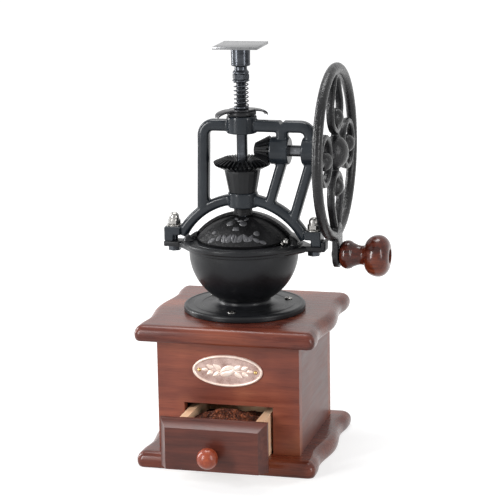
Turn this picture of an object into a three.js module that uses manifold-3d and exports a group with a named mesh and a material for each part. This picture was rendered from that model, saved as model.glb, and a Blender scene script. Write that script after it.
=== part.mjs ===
// Hand crank coffee grinder: wooden cabinet with a drawer, cast hopper, frame, handwheel and bevel drive.
// Millimetres, +Z up. The origin lies on the underside of the base board, on the main shaft's axis.
// The drawer faces -Y and the handwheel stands at +X.

import * as THREE from 'three'
import { mergeVertices } from 'three/addons/utils/BufferGeometryUtils.js'
import Module from 'manifold-3d'

const wasm = await Module()
wasm.setup()

// Fits
const seatGap = 0.05
const slipGap = 0.3
const runningGap = 0.08
const cutOverrun = 2

// Boards
const boardOverhang = 16.6
const boardThickness = 14
const baseFrontOverhang = 18.5
const topFrontOverhang = 16.5
const edgeInset = 8
const edgeFootInset = 3.5
const cornerRadius = 6
const sideBelly = 2.3
const sideScoop = 2.1
const chuteRadius = 20

// Cabinet
const cabinetWidth = 126.8
const cabinetDepth = 123
const cabinetHeight = 99.5
const panelThickness = 10
const bayMargin = 23.65
const bayHeight = 42.5
const guideHeight = 24

// Drawer
const drawerPullOut = 44.5
const drawerFrontLap = 7.25
const drawerFrontRise = 1.1
const drawerFrontEdge = 4
const drawerMouldingDepth = 8.5
const drawerMouldingWidth = 6.2
const drawerShortfall = 23
const drawerSideFall = 6.5
const drawerWall = 7
const drawerFloor = 3
const drawerPlay = 2.4
const guidePlay = 0.6
const drawerKnobRadius = 9
const drawerKnobNeckRadius = 4.6
const drawerKnobReach = 3
const drawerKnobDrop = 5.6
const woodScrewRadius = 1.8
const woodScrewHeadRadius = 3.6
const woodScrewHeadHeight = 1.8

// Plaque
const plaqueWidth = 62.6
const plaqueHeight = 28.4
const plaqueDrop = 26.3
const plaqueThickness = 1.2
const plaqueRimWidth = 2
const plaqueRimHeight = 0.9
const plaquePinRadius = 1.3
const plaquePinSpacing = 50.4

// Hopper bowl
const flangeRadius = 54
const flangeThickness = 5.6
const flangeEdge = 1
const neckRadius = 22.9
const neckHeight = 4.67
const neckFillet = 2.2
const bowlRadius = 48.3
const bowlWall = 4
const throatRadius = 17.3
const throatHeight = 16
const rimReach = 3.7
const rimStepReach = 1.7
const rimStepHeight = 2.8
const rimHeight = 4.6
const rimShelf = 7.67
const rimRise = 9.6
const flangeScrewRadius = 2.2
const flangeScrewHeadRadius = 3.6
const flangeScrewHeadHeight = 1.4
const flangeScrewLength = 16
const flangeScrewCircle = 40

// Ears, feet and their bolts
const boltReach = 11.5
const earDrop = 2.6
const earThickness = 5
const earWidth = 15
const earReach = 8.4
const earLipHeight = 4.6
const earLipThickness = 3
const footWidth = 15
const footDepth = 17
const footHeight = 13.1
const footStepRise = 5.6
const footStepWidth = 6.5
const boltRadius = 3
const boltHeadAcross = 10
const boltHeadHeight = 4
const washerRadius = 7
const washerThickness = 1
const nutAcross = 10
const nutHexHeight = 4.6
const nutDomeRadius = 4.6
const nutDomeRise = 1.8

// Lid
const lidBaseInset = 1.83
const lidRise = 25
const lidWall = 2.5
const lidPlay = 0.5
const lidHubRadius = 8
const lidHubRise = 3.8
const doorHubRadius = 12
const lidTabReach = 5.6
const lidTabRise = 5.2
const lidTabDepth = 3
const doorKnobRadius = 2.8
const doorKnobStemRadius = 1.2
const doorKnobReach = 1.4
const doorKnobRise = 0.72

// Frame casting
const barWidth = 10.6
const barDepth = 12
const archWidth = 9.8
const archClearance = 2.8
const archRise = 3.8
const legHeadX = 34.4
const crownRise = 21.3
const crownCorner = 9
const crownEndInset = 8.9
const lowerBossRadius = 13.2
const lowerBossGap = 0.5
const lowerBossLength = 13.5
const lidRoomDrop = 4.2
const upperBossRadius = 13.3
const upperBossRise = 14.8
const upperBossLength = 15.1
const bushSleeveRadius = 8
const bushSleeveLength = 12
const shaftAxisRise = 37.4
const sideBossRadius = 12.2
const innerBossStartX = 26.3
const innerBossEndX = 42.7
const outerBossReach = 6.9
const outerBossLength = 15.8
const postX = 36.3
const innerStrutHeadX = 39
const strutWidth = 9
const outerStrutInset = 6.3
const notchDepth = 3.6
const notchWidth = 6.4

// Main shaft and its adjuster
const mainShaftRadius = 4.8
const mainShaftFlat = 3.9
const mainShaftTail = 8.6
const mainShaftLift = 1.2
const threadRadius = 4.5
const threadStartRise = 3.6
const coneTopRadius = 7.5
const coneBottomRadius = 13.6
const coneRise = 1.4
const coneHeight = 16
const coneFluteDepth = 1.2
const ringHeight = 17
const ringTopBore = 12.4
const ringBottomBore = 14.9
const burrNutAcross = 13
const burrNutHeight = 5
const bushFlangeRadius = 12.8
const bushFlangeHeight = 3.4
const bushLift = 0.7
const wingPlateRadius = 11.4
const wingPlateThickness = 1.8
const wingReach = 23
const wingWidth = 12
const wingDrop = 4.4
const wingSink = 0.225
const springSeatRadius = 6.6
const springSeatHeight = 2.4
const springMeanRadius = 6.1
const springWire = 1.2
const springLength = 21
const springCapRadius = 7.7
const springCapHeight = 2
const hexNutAcross = 13
const hexNutHeight = 5
const topNutRadius = 7.3
const topNutCrown = 5.5
const topNutHeight = 6.6
const socketRadius = 8.5
const socketHeight = 16.3
const socketWall = 3.4
const topPlateWidth = 39.6
const topPlateDepth = 44.6
const topPlateThickness = 2.4

// Bevel drive
const gearPitchRadius = 25
const toothAddendum = 1.3
const toothDedendum = 1.7
const gearFace = 9.5
const gearBackDrop = 5.6
const gearHubTopRadius = 15.8
const gearHubBottomRadius = 12.4
const gearWeb = 3
const pinionHubRadius = 6.6
const pinionHubLength = 4.2

// Handwheel and crank
const wheelRadius = 77.2
const wheelRimWidth = 10
const wheelRimDepth = 8.8
const wheelStandOff = 12.6
const wheelBarThickness = 7
const wheelHubRadius = 14.6
const wheelDomeRise = 11.5
const wheelBossRadius = 11
const wheelBossGap = 0.8
const wheelBallRadius = 8.2
const wheelBallRise = 7.5
const wheelSpokeWidth = 6
const dropBallOffset = 30.3
const dropLobeRadius = 21.4
const dropTipRadius = 11.5
const dropTipOffset = 58
const dropLobeOffset = 37.5
const dropBarWidth = 5.2
const ringOffset = 46
const ringOuterRadius = 22.6
const ringBarWidth = 5.2
const crankRadius = 90.2
const crankTabRadius = 11.4
const crankTabThickness = 5
const crankTabOffset = 1.4
const wheelShaftRadius = 5
const crossPinRadius = 1.4
const spindleRadius = 3
const spindleHeadRadius = 5
const spindleHeadHeight = 2
const spindleRivetHeight = 2.4
const gripLength = 43.8
const gripRadius = 18.3
const gripRecessRadius = 6.2
const gripRecessDepth = 4.4

// Counts, angles and shares
const roundCount = 28
const boreCount = 20
const smallCount = 12
const castCount = 28
const gripCount = 20
const boardStepCount = 12
const curveStepCount = 6
const ovalStepCount = 16
const sphereStepCount = 5
const archStepCount = 16
const cornerStepCount = 3
const rimCount = 40
const rimSideCount = 8
const ballRoundCount = 10
const ballRiseCount = 6
const nutRoundCount = 18
const gearTeethCount = 36
const pinionTeethCount = 17
const springCurlCount = 5.5
const springStepCount = 8
const springSideCount = 5
const springSampleCount = 400
const coneFluteCount = 9
const coneStepCount = 4
const fluteStepCount = 4
const wingStepCount = 6
const hexCount = 6
const barSideCount = 8
const degree = Math.PI / 180
const wingDegrees = 35
const topPlateDegrees = 1.5
const doorKnobDegrees = -22.7
const doorLapDegrees = 7
const crownBendDegrees = 150
const flangeScrewDegrees = [-92, 28, 148]
const cornerDegrees = [30, 60, 90]
const upperEdgeShares = [[1, 1], [0.6, 0.95], [0.28, 0.84], [0.07, 0.66], [0, 0.42]]
const lowerEdgeShares = [[0.24, 0.17], [1, 0]]
const bellyEndShare = 0.6
const scoopEndShare = 0.9
const mouldingShares = [[0, 0], [0.42, 0.32], [1, 1]]
const knobBallShares = [[0, 1], [0.5, 0.87], [0.87, 0.5], [1, 0], [0.87, -0.5]]
const legFootShare = 0.5678
const innerStrutFootShare = 0.3801
const outerStrutFootShare = 0.7129
const shaftSocketShare = 0.5
const springCapTopShare = 0.9
const tabRootShare = 0.9
const wingTipShare = 0.35
const wingEdgeShare = 0.75
const toothTipShare = 0.13
const toothRootShare = 0.24
const gearStartShare = 0.5
const pinionStartShare = 0
const coneTwistShare = 0.12
const gripShares = [
  [0, 0.4], [0.03, 0.56], [0.11, 0.68], [0.21, 0.67], [0.3, 0.55], [0.38, 0.41], [0.42, 0.38], [0.46, 0.42],
  [0.49, 0.5], [0.51, 0.7], [0.55, 0.85], [0.64, 0.97], [0.74, 1], [0.85, 0.95], [0.94, 0.77], [0.99, 0.52],
  [1, 0.44],
]

// Sizes and places that follow from the sizes above
const boardWidth = cabinetWidth + 2 * boardOverhang
const baseDepth = cabinetDepth + 2 * baseFrontOverhang
const topDepth = cabinetDepth + 2 * topFrontOverhang
const bayWidth = cabinetWidth - 2 * bayMargin
const bodyBottomZ = boardThickness + seatGap
const bodyTopZ = boardThickness + cabinetHeight
const topBoardZ = bodyTopZ + seatGap
const topBoardTopZ = topBoardZ + boardThickness
const cabinetFrontY = -cabinetDepth / 2
const plaqueCentreZ = bodyTopZ - plaqueDrop

const drawerFrontWidth = bayWidth + 2 * drawerFrontLap
const drawerFrontHeight = bayHeight + drawerFrontRise
const drawerSideHeight = bayHeight - drawerSideFall
const drawerLength = cabinetDepth - drawerShortfall
const drawerBackOfFrontY = cabinetFrontY - drawerPullOut
const drawerEdgeY = drawerBackOfFrontY - drawerFrontEdge
const drawerFaceY = drawerEdgeY - drawerMouldingDepth
const drawerBottomZ = boardThickness + slipGap
const drawerKnobZ = drawerBottomZ + drawerFrontHeight / 2 - drawerKnobDrop
const drawerBoxFrontY = drawerBackOfFrontY + seatGap
const drawerBoxHalf = bayWidth / 2 - drawerPlay

const flangeBottomZ = topBoardTopZ + seatGap
const flangeTopZ = flangeBottomZ + flangeThickness
const neckTopZ = flangeTopZ + neckHeight
const bowlCentreZ = neckTopZ + Math.sqrt(bowlRadius ** 2 - neckRadius ** 2)
const rimRadius = bowlRadius + rimReach
const rimStepRadius = bowlRadius + rimStepReach
const rimTopZ = bowlCentreZ + rimRise
const boltOffset = rimRadius + boltReach
const earTopZ = rimTopZ - earDrop
const footTopZ = earTopZ + footHeight
const footStepZ = earTopZ + footStepRise

const lidBaseRadius = bowlRadius - lidBaseInset
const lidRadius = (lidBaseRadius ** 2 + lidRise ** 2) / (2 * lidRise)
const shellBottomZ = rimTopZ + slipGap
const lidCentreZ = shellBottomZ + lidRise - lidRadius
const lidHubTopZ = lidCentreZ + lidRadius + lidHubRise
const rimMouthRadius = lidBaseRadius - rimShelf
const doorRadius = lidRadius - lidWall - lidPlay
const doorKnobAngle = Math.asin((shellBottomZ + doorKnobRise - lidCentreZ) / doorRadius)

const archInnerRadius = lidRadius + archClearance
const archRadius = archInnerRadius + archWidth / 2
const archCentreZ = lidCentreZ + archRise
const archEndAngle = Math.asin((footStepZ - archCentreZ) / archRadius)
const legFootX = archRadius * legFootShare
const innerStrutFootX = archRadius * innerStrutFootShare
const outerStrutFootX = archRadius * outerStrutFootShare
const outerBossEndX = boltOffset + outerBossReach
const outerBossStartX = outerBossEndX - outerBossLength
const outerStrutHeadX = outerBossEndX - outerStrutInset
const crownEndX = outerBossEndX - crownEndInset
const lowerBossBottomZ = lidHubTopZ + lowerBossGap
const lowerBossTopZ = lowerBossBottomZ + lowerBossLength
const shaftAxisZ = lowerBossTopZ + shaftAxisRise
const crownZ = shaftAxisZ + crownRise
const upperBossBottomZ = shaftAxisZ + upperBossRise
const upperBossTopZ = upperBossBottomZ + upperBossLength

const bushBottomZ = upperBossTopZ + bushLift
const wingPlateZ = bushBottomZ + bushFlangeHeight + seatGap
const springSeatZ = wingPlateZ + wingPlateThickness + seatGap
const springBottomZ = springSeatZ + springSeatHeight + seatGap
const springCapZ = springBottomZ + springLength + slipGap
const hexNutZ = springCapZ + springCapHeight + seatGap
const topNutZ = hexNutZ + hexNutHeight + seatGap
const socketZ = topNutZ + topNutHeight + seatGap
const topPlateZ = socketZ + socketHeight + seatGap
const mainShaftBottomZ = flangeBottomZ - mainShaftTail
const mainShaftTopZ = socketZ + socketHeight * shaftSocketShare
const threadStartZ = upperBossTopZ + threadStartRise
const coneBottomZ = flangeBottomZ + coneRise
const boreRadius = mainShaftRadius + runningGap

const pinionPitchRadius = gearPitchRadius * pinionTeethCount / gearTeethCount
const crossPinX = gearPitchRadius - gearFace - pinionHubLength / 4
const wheelHubStartX = outerBossEndX + wheelBossGap
const wheelPlaneX = outerBossEndX + wheelStandOff
const crankAxisZ = shaftAxisZ - crankRadius
const tabFaceX = wheelPlaneX + crankTabOffset + crankTabThickness / 2
const gripStartX = tabFaceX + slipGap
const gripEndX = gripStartX + gripLength

// Sets a pinion tooth into the driven gear's gap below it.
const pinionTurn = Math.PI
const frameSides = [['left', -1], ['right', 1]]

// Geometry helpers

function signedVolume(geometry) {
  const place = geometry.attributes.position
  const corners = [new THREE.Vector3(), new THREE.Vector3(), new THREE.Vector3()]
  let sum = 0
  for (let start = 0; start < geometry.index.count; start += 3) {
    corners.forEach((corner, k) => corner.fromBufferAttribute(place, geometry.index.getX(start + k)))
    sum += corners[0].dot(corners[1].clone().cross(corners[2]))
  }
  return sum
}

// Welds a closed geometry, drops collapsed triangles and turns its faces outwards.
function solid(geometry) {
  const bare = geometry.clone()
  bare.deleteAttribute('normal')
  bare.deleteAttribute('uv')
  const welded = mergeVertices(bare)
  const kept = []
  for (let start = 0; start < welded.index.count; start += 3) {
    const [a, b, c] = [0, 1, 2].map((k) => welded.index.getX(start + k))
    if (a !== b && b !== c && a !== c) kept.push(a, b, c)
  }
  welded.setIndex(kept)
  if (signedVolume(welded) < 0) {
    for (let start = 0; start < kept.length; start += 3) {
      [kept[start], kept[start + 1]] = [kept[start + 1], kept[start]]
    }
  }
  return new wasm.Manifold(new wasm.Mesh({
    numProp: 3,
    vertProperties: Float32Array.from(welded.attributes.position.array),
    triVerts: Uint32Array.from(kept),
  }))
}

function box(lowX, highX, lowY, highY, lowZ, highZ) {
  const geometry = new THREE.BoxGeometry(highX - lowX, highY - lowY, highZ - lowZ)
  return solid(geometry.translate((lowX + highX) / 2, (lowY + highY) / 2, (lowZ + highZ) / 2))
}

// Turns an outline of [radius, height] points about Z. It closes on itself unless it ends on the axis.
function turnedGeometry(outline, sides = roundCount) {
  const points = outline.map(([radius, height]) => new THREE.Vector2(radius, height))
  if (outline[0][0] > 0) points.push(points[0].clone())
  return new THREE.LatheGeometry(points, sides).rotateX(Math.PI / 2)
}

function turned(outline, sides = roundCount) {
  return solid(turnedGeometry(outline, sides))
}

function rod(radius, lowZ, highZ, sides = smallCount) {
  return turned([[0, lowZ], [radius, lowZ], [radius, highZ], [0, highZ]], sides)
}

// The same, about an axis along X at the given height.
function turnedAlongX(outline, axisZ, sides = roundCount) {
  return solid(turnedGeometry(outline, sides).rotateY(Math.PI / 2).translate(0, 0, axisZ))
}

function rodAlongX(radius, lowX, highX, axisZ, sides = smallCount) {
  return turnedAlongX([[0, lowX], [radius, lowX], [radius, highX], [0, highX]], axisZ, sides)
}

function rodAlongY(radius, lowY, highY, x, z, sides = smallCount) {
  const geometry = turnedGeometry([[0, -highY], [radius, -highY], [radius, -lowY], [0, -lowY]], sides)
  return solid(geometry.rotateX(Math.PI / 2).translate(x, 0, z))
}

function hexPrism(across, lowZ, highZ) {
  return rod(across / Math.sqrt(3), lowZ, highZ, hexCount)
}

// Extrudes a shape drawn in X and Z from one Y to another.
function extrudedAlongY(shape, lowY, highY) {
  const geometry = new THREE.ExtrudeGeometry(shape, {
    depth: highY - lowY, bevelEnabled: false, curveSegments: curveStepCount,
  })
  return solid(geometry.rotateX(Math.PI / 2).translate(0, highY, 0))
}

// Extrudes a shape drawn in Y and Z from one X to another.
function extrudedAlongX(shape, lowX, highX) {
  const geometry = new THREE.ExtrudeGeometry(shape, {
    depth: highX - lowX, bevelEnabled: false, curveSegments: curveStepCount,
  })
  const turn = new THREE.Matrix4().makeBasis(
    new THREE.Vector3(0, 1, 0), new THREE.Vector3(0, 0, 1), new THREE.Vector3(1, 0, 0))
  return solid(geometry.applyMatrix4(turn).translate(lowX, 0, 0))
}

// Joins rings of equally many points. Open lofts end in fans about each end ring's centre.
function loftGeometry(rings, closed = false) {
  const count = rings[0].length
  const places = rings.flat().flatMap((point) => [point.x, point.y, point.z])
  const faces = []
  const spans = closed ? rings.length : rings.length - 1
  for (let ring = 0; ring < spans; ring += 1) {
    const here = ring * count
    const there = ((ring + 1) % rings.length) * count
    for (let side = 0; side < count; side += 1) {
      const next = (side + 1) % count
      faces.push(here + side, here + next, there + next, here + side, there + next, there + side)
    }
  }
  if (!closed) {
    [0, rings.length - 1].forEach((ring) => {
      const centre = new THREE.Vector3()
      rings[ring].forEach((point) => centre.addScaledVector(point, 1 / count))
      const hub = places.length / 3
      places.push(centre.x, centre.y, centre.z)
      for (let side = 0; side < count; side += 1) {
        const [from, to] = [ring * count + side, ring * count + (side + 1) % count]
        faces.push(...(ring === 0 ? [hub, to, from] : [hub, from, to]))
      }
    })
  }
  const geometry = new THREE.BufferGeometry()
  geometry.setAttribute('position', new THREE.Float32BufferAttribute(places, 3))
  geometry.setIndex(faces)
  return geometry
}

function loft(rings, closed = false) {
  return solid(loftGeometry(rings, closed))
}

function union(pieces) {
  return pieces.reduce((whole, piece) => whole.add(piece))
}

// A bar of rounded section that follows points [x, z] in the plane of the frame.
function bar(path, width, depth) {
  const section = Array.from({ length: barSideCount }, (_, k) => {
    const angle = (k + 0.5) / barSideCount * 2 * Math.PI
    const squareness = (value) => Math.sign(value) * Math.sqrt(Math.abs(value))
    return [squareness(Math.cos(angle)) * width / 2, squareness(Math.sin(angle)) * depth / 2]
  })
  return loft(path.map(([x, z], k) => {
    const [before, after] = [path[Math.max(k - 1, 0)], path[Math.min(k + 1, path.length - 1)]]
    const along = new THREE.Vector2(after[0] - before[0], after[1] - before[1]).normalize()
    return section.map(([across, forward]) => (
      new THREE.Vector3(x + along.y * across, forward, z - along.x * across)))
  }))
}

function arcPoints(centreX, centreZ, radius, fromAngle, toAngle, steps) {
  return Array.from({ length: steps + 1 }, (_, k) => {
    const angle = fromAngle + (toAngle - fromAngle) * k / steps
    return [centreX + radius * Math.cos(angle), centreZ + radius * Math.sin(angle)]
  })
}

// Wooden boards

function sideWave(share) {
  const away = Math.abs(share)
  const ease = (value) => (1 - Math.cos(Math.PI * Math.min(Math.max(value, 0), 1))) / 2
  const fallen = ease(away / bellyEndShare) * (sideBelly + sideScoop)
  const risen = ease((away - bellyEndShare) / (scoopEndShare - bellyEndShare)) * sideScoop
  return sideBelly - fallen + risen
}

function boardRing(depth, inset, z) {
  const reach = depth / 2 - inset
  const radius = cornerRadius - inset / 2
  const edge = Array.from({ length: boardStepCount + 1 }, (_, k) => {
    const share = -1 + 2 * k / boardStepCount
    const y = share * (reach - radius)
    return [boardWidth / 2 + sideWave(share) - inset, y]
  })
  const corner = (angle) => [
    boardWidth / 2 - inset - radius * (1 - Math.cos(angle)), reach - radius * (1 - Math.sin(angle)),
  ]
  const turns = cornerDegrees.map((angle) => corner(angle * degree))
  const half = [...turns.map(([x, y]) => [x, -y]).reverse(), ...edge, ...turns]
  const right = half.map(([x, y]) => new THREE.Vector3(x, y, z))
  const left = half.map(([x, y]) => new THREE.Vector3(-x, y, z)).reverse()
  return [...right, ...left]
}

function mouldedBoard(depth, bottomZ) {
  const upper = upperEdgeShares.map(([inset, height]) => [inset * edgeInset, height * boardThickness])
  const lower = lowerEdgeShares.map(([inset, height]) => [inset * edgeFootInset, height * boardThickness])
  return loft([...upper, ...lower].map(([inset, height]) => boardRing(depth, inset, bottomZ + height)))
}

function baseBoard() {
  return mouldedBoard(baseDepth, 0)
}

function topBoard() {
  const chute = rod(chuteRadius, topBoardZ - cutOverrun, topBoardTopZ + cutOverrun, roundCount)
  const screwHoles = flangeScrewDegrees.map((angle) => solid(
    turnedGeometry([
      [0, topBoardTopZ - flangeScrewLength], [flangeScrewRadius + seatGap, topBoardTopZ - flangeScrewLength],
      [flangeScrewRadius + seatGap, topBoardTopZ + cutOverrun], [0, topBoardTopZ + cutOverrun],
    ], smallCount).translate(
      flangeScrewCircle * Math.cos(angle * degree), flangeScrewCircle * Math.sin(angle * degree), 0)))
  return mouldedBoard(topDepth, topBoardZ).subtract(union([chute, ...screwHoles]))
}

// Cabinet

function frontPanel() {
  const panel = box(-cabinetWidth / 2, cabinetWidth / 2, cabinetFrontY, cabinetFrontY + panelThickness,
    bodyBottomZ, bodyTopZ)
  return panel.subtract(box(-bayWidth / 2, bayWidth / 2, cabinetFrontY - cutOverrun,
    cabinetFrontY + panelThickness + cutOverrun, 0, boardThickness + bayHeight))
}

function backPanel() {
  return box(-cabinetWidth / 2, cabinetWidth / 2, -cabinetFrontY - panelThickness, -cabinetFrontY,
    bodyBottomZ, bodyTopZ)
}

function sidePanel(side) {
  const outer = cabinetWidth / 2
  const reach = -cabinetFrontY - panelThickness - seatGap
  const [low, high] = [side * outer, side * (outer - panelThickness)].sort((a, b) => a - b)
  return box(low, high, -reach, reach, bodyBottomZ, bodyTopZ)
}

function drawerGuide(side) {
  const start = drawerBoxHalf + guidePlay
  const end = cabinetWidth / 2 - panelThickness - seatGap
  const reach = -cabinetFrontY - panelThickness - seatGap
  const [low, high] = [side * start, side * end].sort((a, b) => a - b)
  return box(low, high, -reach, reach, bodyBottomZ, bodyBottomZ + guideHeight)
}

function ovalShape(halfWidth, halfHeight) {
  return new THREE.Shape().absellipse(0, 0, halfWidth, halfHeight, 0, 2 * Math.PI, false, 0)
}

function plaque() {
  const backY = cabinetFrontY - seatGap
  const [halfWidth, halfHeight] = [plaqueWidth / 2, plaqueHeight / 2]
  const rim = ovalShape(halfWidth, halfHeight)
  rim.holes.push(ovalShape(halfWidth - plaqueRimWidth, halfHeight - plaqueRimWidth))
  const field = ovalShape(halfWidth - plaqueRimWidth / 2, halfHeight - plaqueRimWidth / 2)
  const place = (shape, lowY, highY) => {
    const geometry = new THREE.ExtrudeGeometry(shape, {
      depth: highY - lowY, bevelEnabled: false, curveSegments: ovalStepCount,
    })
    return solid(geometry.rotateX(Math.PI / 2).translate(0, highY, plaqueCentreZ))
  }
  const plate = place(field, backY - plaqueThickness, backY)
    .add(place(rim, backY - plaqueThickness - plaqueRimHeight, backY))
  return plate.subtract(union([-1, 1].map((side) => rodAlongY(plaquePinRadius + seatGap,
    backY - plaqueThickness - cutOverrun, backY + cutOverrun, side * plaquePinSpacing / 2, plaqueCentreZ))))
}

function plaquePin(side) {
  const backY = cabinetFrontY - seatGap
  return rodAlongY(plaquePinRadius, backY - plaqueThickness - plaqueRimHeight, backY,
    side * plaquePinSpacing / 2, plaqueCentreZ)
}

// Drawer

function drawerFront() {
  const halfWidth = drawerFrontWidth / 2
  const ring = (inset, y) => [
    new THREE.Vector3(-halfWidth + inset, y, drawerBottomZ),
    new THREE.Vector3(halfWidth - inset, y, drawerBottomZ),
    new THREE.Vector3(halfWidth - inset, y, drawerBottomZ + drawerFrontHeight - inset),
    new THREE.Vector3(-halfWidth + inset, y, drawerBottomZ + drawerFrontHeight - inset),
  ]
  const moulding = mouldingShares.map(([across, forward]) => (
    ring(across * drawerMouldingWidth, drawerEdgeY - forward * drawerMouldingDepth)))
  const knobHole = rodAlongY(woodScrewRadius + seatGap, drawerFaceY - cutOverrun,
    drawerBackOfFrontY + cutOverrun, 0, drawerKnobZ)
  return loft([ring(0, drawerBackOfFrontY), ...moulding]).subtract(knobHole)
}

function drawerSide(side) {
  const [low, high] = [side * drawerBoxHalf, side * (drawerBoxHalf - drawerWall)].sort((a, b) => a - b)
  return box(low, high, drawerBoxFrontY, drawerBoxFrontY + drawerLength, drawerBottomZ,
    drawerBottomZ + drawerSideHeight)
}

function drawerBack() {
  const half = drawerBoxHalf - drawerWall - seatGap
  const backY = drawerBoxFrontY + drawerLength
  return box(-half, half, backY - drawerWall, backY, drawerBottomZ, drawerBottomZ + drawerSideHeight)
}

function drawerBottom() {
  const half = drawerBoxHalf - drawerWall - seatGap
  const backY = drawerBoxFrontY + drawerLength - drawerWall - seatGap
  return box(-half, half, drawerBoxFrontY, backY, drawerBottomZ, drawerBottomZ + drawerFloor)
}

function drawerKnob() {
  const seatY = drawerFaceY - seatGap
  const ball = knobBallShares.map(([across, along]) => [across * drawerKnobRadius, along * drawerKnobRadius])
  const outline = [
    ...ball.map(([radius, height]) => [radius, height + drawerKnobRadius + drawerKnobReach]),
    [drawerKnobNeckRadius, drawerKnobReach], [drawerKnobNeckRadius, 0],
    [woodScrewRadius + seatGap, 0], [woodScrewRadius + seatGap, drawerKnobReach + seatGap],
    [0, drawerKnobReach + seatGap],
  ]
  const geometry = turnedGeometry(outline, roundCount / 2)
  return solid(geometry.rotateX(Math.PI / 2).translate(0, seatY, drawerKnobZ))
}

function drawerKnobScrew() {
  const headY = drawerBackOfFrontY + seatGap
  const tipY = drawerFaceY - drawerKnobReach
  return rodAlongY(woodScrewRadius, tipY, headY + woodScrewHeadHeight, 0, drawerKnobZ)
    .add(rodAlongY(woodScrewHeadRadius, headY, headY + woodScrewHeadHeight, 0, drawerKnobZ))
}

// Hopper

function sphereRadiusAt(radius, centreZ, z) {
  return Math.sqrt(radius ** 2 - (z - centreZ) ** 2)
}

function spherePoints(radius, centreZ, fromZ, toZ, steps) {
  const [from, to] = [fromZ, toZ].map((z) => Math.asin((z - centreZ) / radius))
  return Array.from({ length: steps + 1 }, (_, k) => {
    const angle = from + (to - from) * k / steps
    return [radius * Math.cos(angle), centreZ + radius * Math.sin(angle)]
  })
}

function hopperBowl() {
  const innerRadius = bowlRadius - bowlWall
  const rimBottomZ = rimTopZ - rimHeight
  const floorZ = flangeBottomZ + throatHeight
  const floorEdgeZ = floorZ + bowlWall
  const outline = [
    [throatRadius, flangeBottomZ], [flangeRadius, flangeBottomZ], [flangeRadius, flangeTopZ - flangeEdge],
    [flangeRadius - flangeEdge, flangeTopZ], [neckRadius + neckFillet, flangeTopZ],
    [neckRadius, flangeTopZ + neckFillet],
    ...spherePoints(bowlRadius, bowlCentreZ, neckTopZ, bowlCentreZ, sphereStepCount + 2),
    [bowlRadius, rimBottomZ - rimStepHeight], [rimStepRadius, rimBottomZ - rimStepHeight],
    [rimStepRadius, rimBottomZ], [rimRadius, rimBottomZ], [rimRadius, rimTopZ],
    [rimMouthRadius, rimTopZ], [rimMouthRadius, rimBottomZ],
    ...spherePoints(innerRadius, bowlCentreZ, rimBottomZ - bowlWall, floorEdgeZ, sphereStepCount),
    [throatRadius, floorZ],
  ]
  const ears = [-1, 1].map((side) => {
    const outer = boltOffset + earReach
    const [low, high] = [side * rimStepRadius - side * bowlWall, side * outer].sort((a, b) => a - b)
    return box(low, high, -earWidth / 2, earWidth / 2, earTopZ - earThickness, earTopZ)
  })
  const lipEnd = boltOffset + earReach + earLipThickness
  const lip = box(boltOffset + earReach - seatGap, lipEnd, -earWidth / 2, earWidth / 2,
    earTopZ - earThickness, earTopZ + earLipHeight)
  const boltHoles = [-1, 1].map((side) => solid(turnedGeometry([
    [0, earTopZ - earThickness - cutOverrun], [boltRadius + runningGap, earTopZ - earThickness - cutOverrun],
    [boltRadius + runningGap, earTopZ + cutOverrun], [0, earTopZ + cutOverrun],
  ], smallCount).translate(side * boltOffset, 0, 0)))
  const screwHoles = flangeScrewDegrees.map((angle) => solid(turnedGeometry([
    [0, flangeBottomZ - cutOverrun], [flangeScrewRadius + runningGap, flangeBottomZ - cutOverrun],
    [flangeScrewRadius + runningGap, flangeTopZ + cutOverrun], [0, flangeTopZ + cutOverrun],
  ], smallCount).translate(
    flangeScrewCircle * Math.cos(angle * degree), flangeScrewCircle * Math.sin(angle * degree), 0)))
  return union([turned(outline, castCount), ...ears, lip]).subtract(union([...boltHoles, ...screwHoles]))
}

function flangeScrew(angle) {
  const headZ = flangeTopZ + seatGap
  const geometry = turnedGeometry([
    [0, headZ - flangeScrewLength], [flangeScrewRadius, headZ - flangeScrewLength],
    [flangeScrewRadius, headZ], [flangeScrewHeadRadius, headZ],
    [flangeScrewHeadRadius, headZ + flangeScrewHeadHeight / 2],
    [flangeScrewHeadRadius / 2, headZ + flangeScrewHeadHeight], [0, headZ + flangeScrewHeadHeight],
  ], smallCount)
  return solid(geometry.translate(
    flangeScrewCircle * Math.cos(angle * degree), flangeScrewCircle * Math.sin(angle * degree), 0))
}

function ringBurr() {
  const outer = throatRadius - seatGap
  return turned([
    [ringBottomBore, flangeBottomZ], [outer, flangeBottomZ], [outer, flangeBottomZ + ringHeight],
    [ringTopBore, flangeBottomZ + ringHeight],
  ], castCount)
}

// Lid

function shell(outerRadius, wall, hubRadius) {
  const innerRadius = outerRadius - wall
  const outerTopZ = lidCentreZ + Math.sqrt(outerRadius ** 2 - hubRadius ** 2)
  const innerTopZ = lidCentreZ + Math.sqrt(innerRadius ** 2 - hubRadius ** 2)
  return turned([
    ...spherePoints(outerRadius, lidCentreZ, shellBottomZ, outerTopZ, sphereStepCount),
    ...spherePoints(innerRadius, lidCentreZ, innerTopZ, shellBottomZ, sphereStepCount),
  ], castCount)
}

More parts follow.
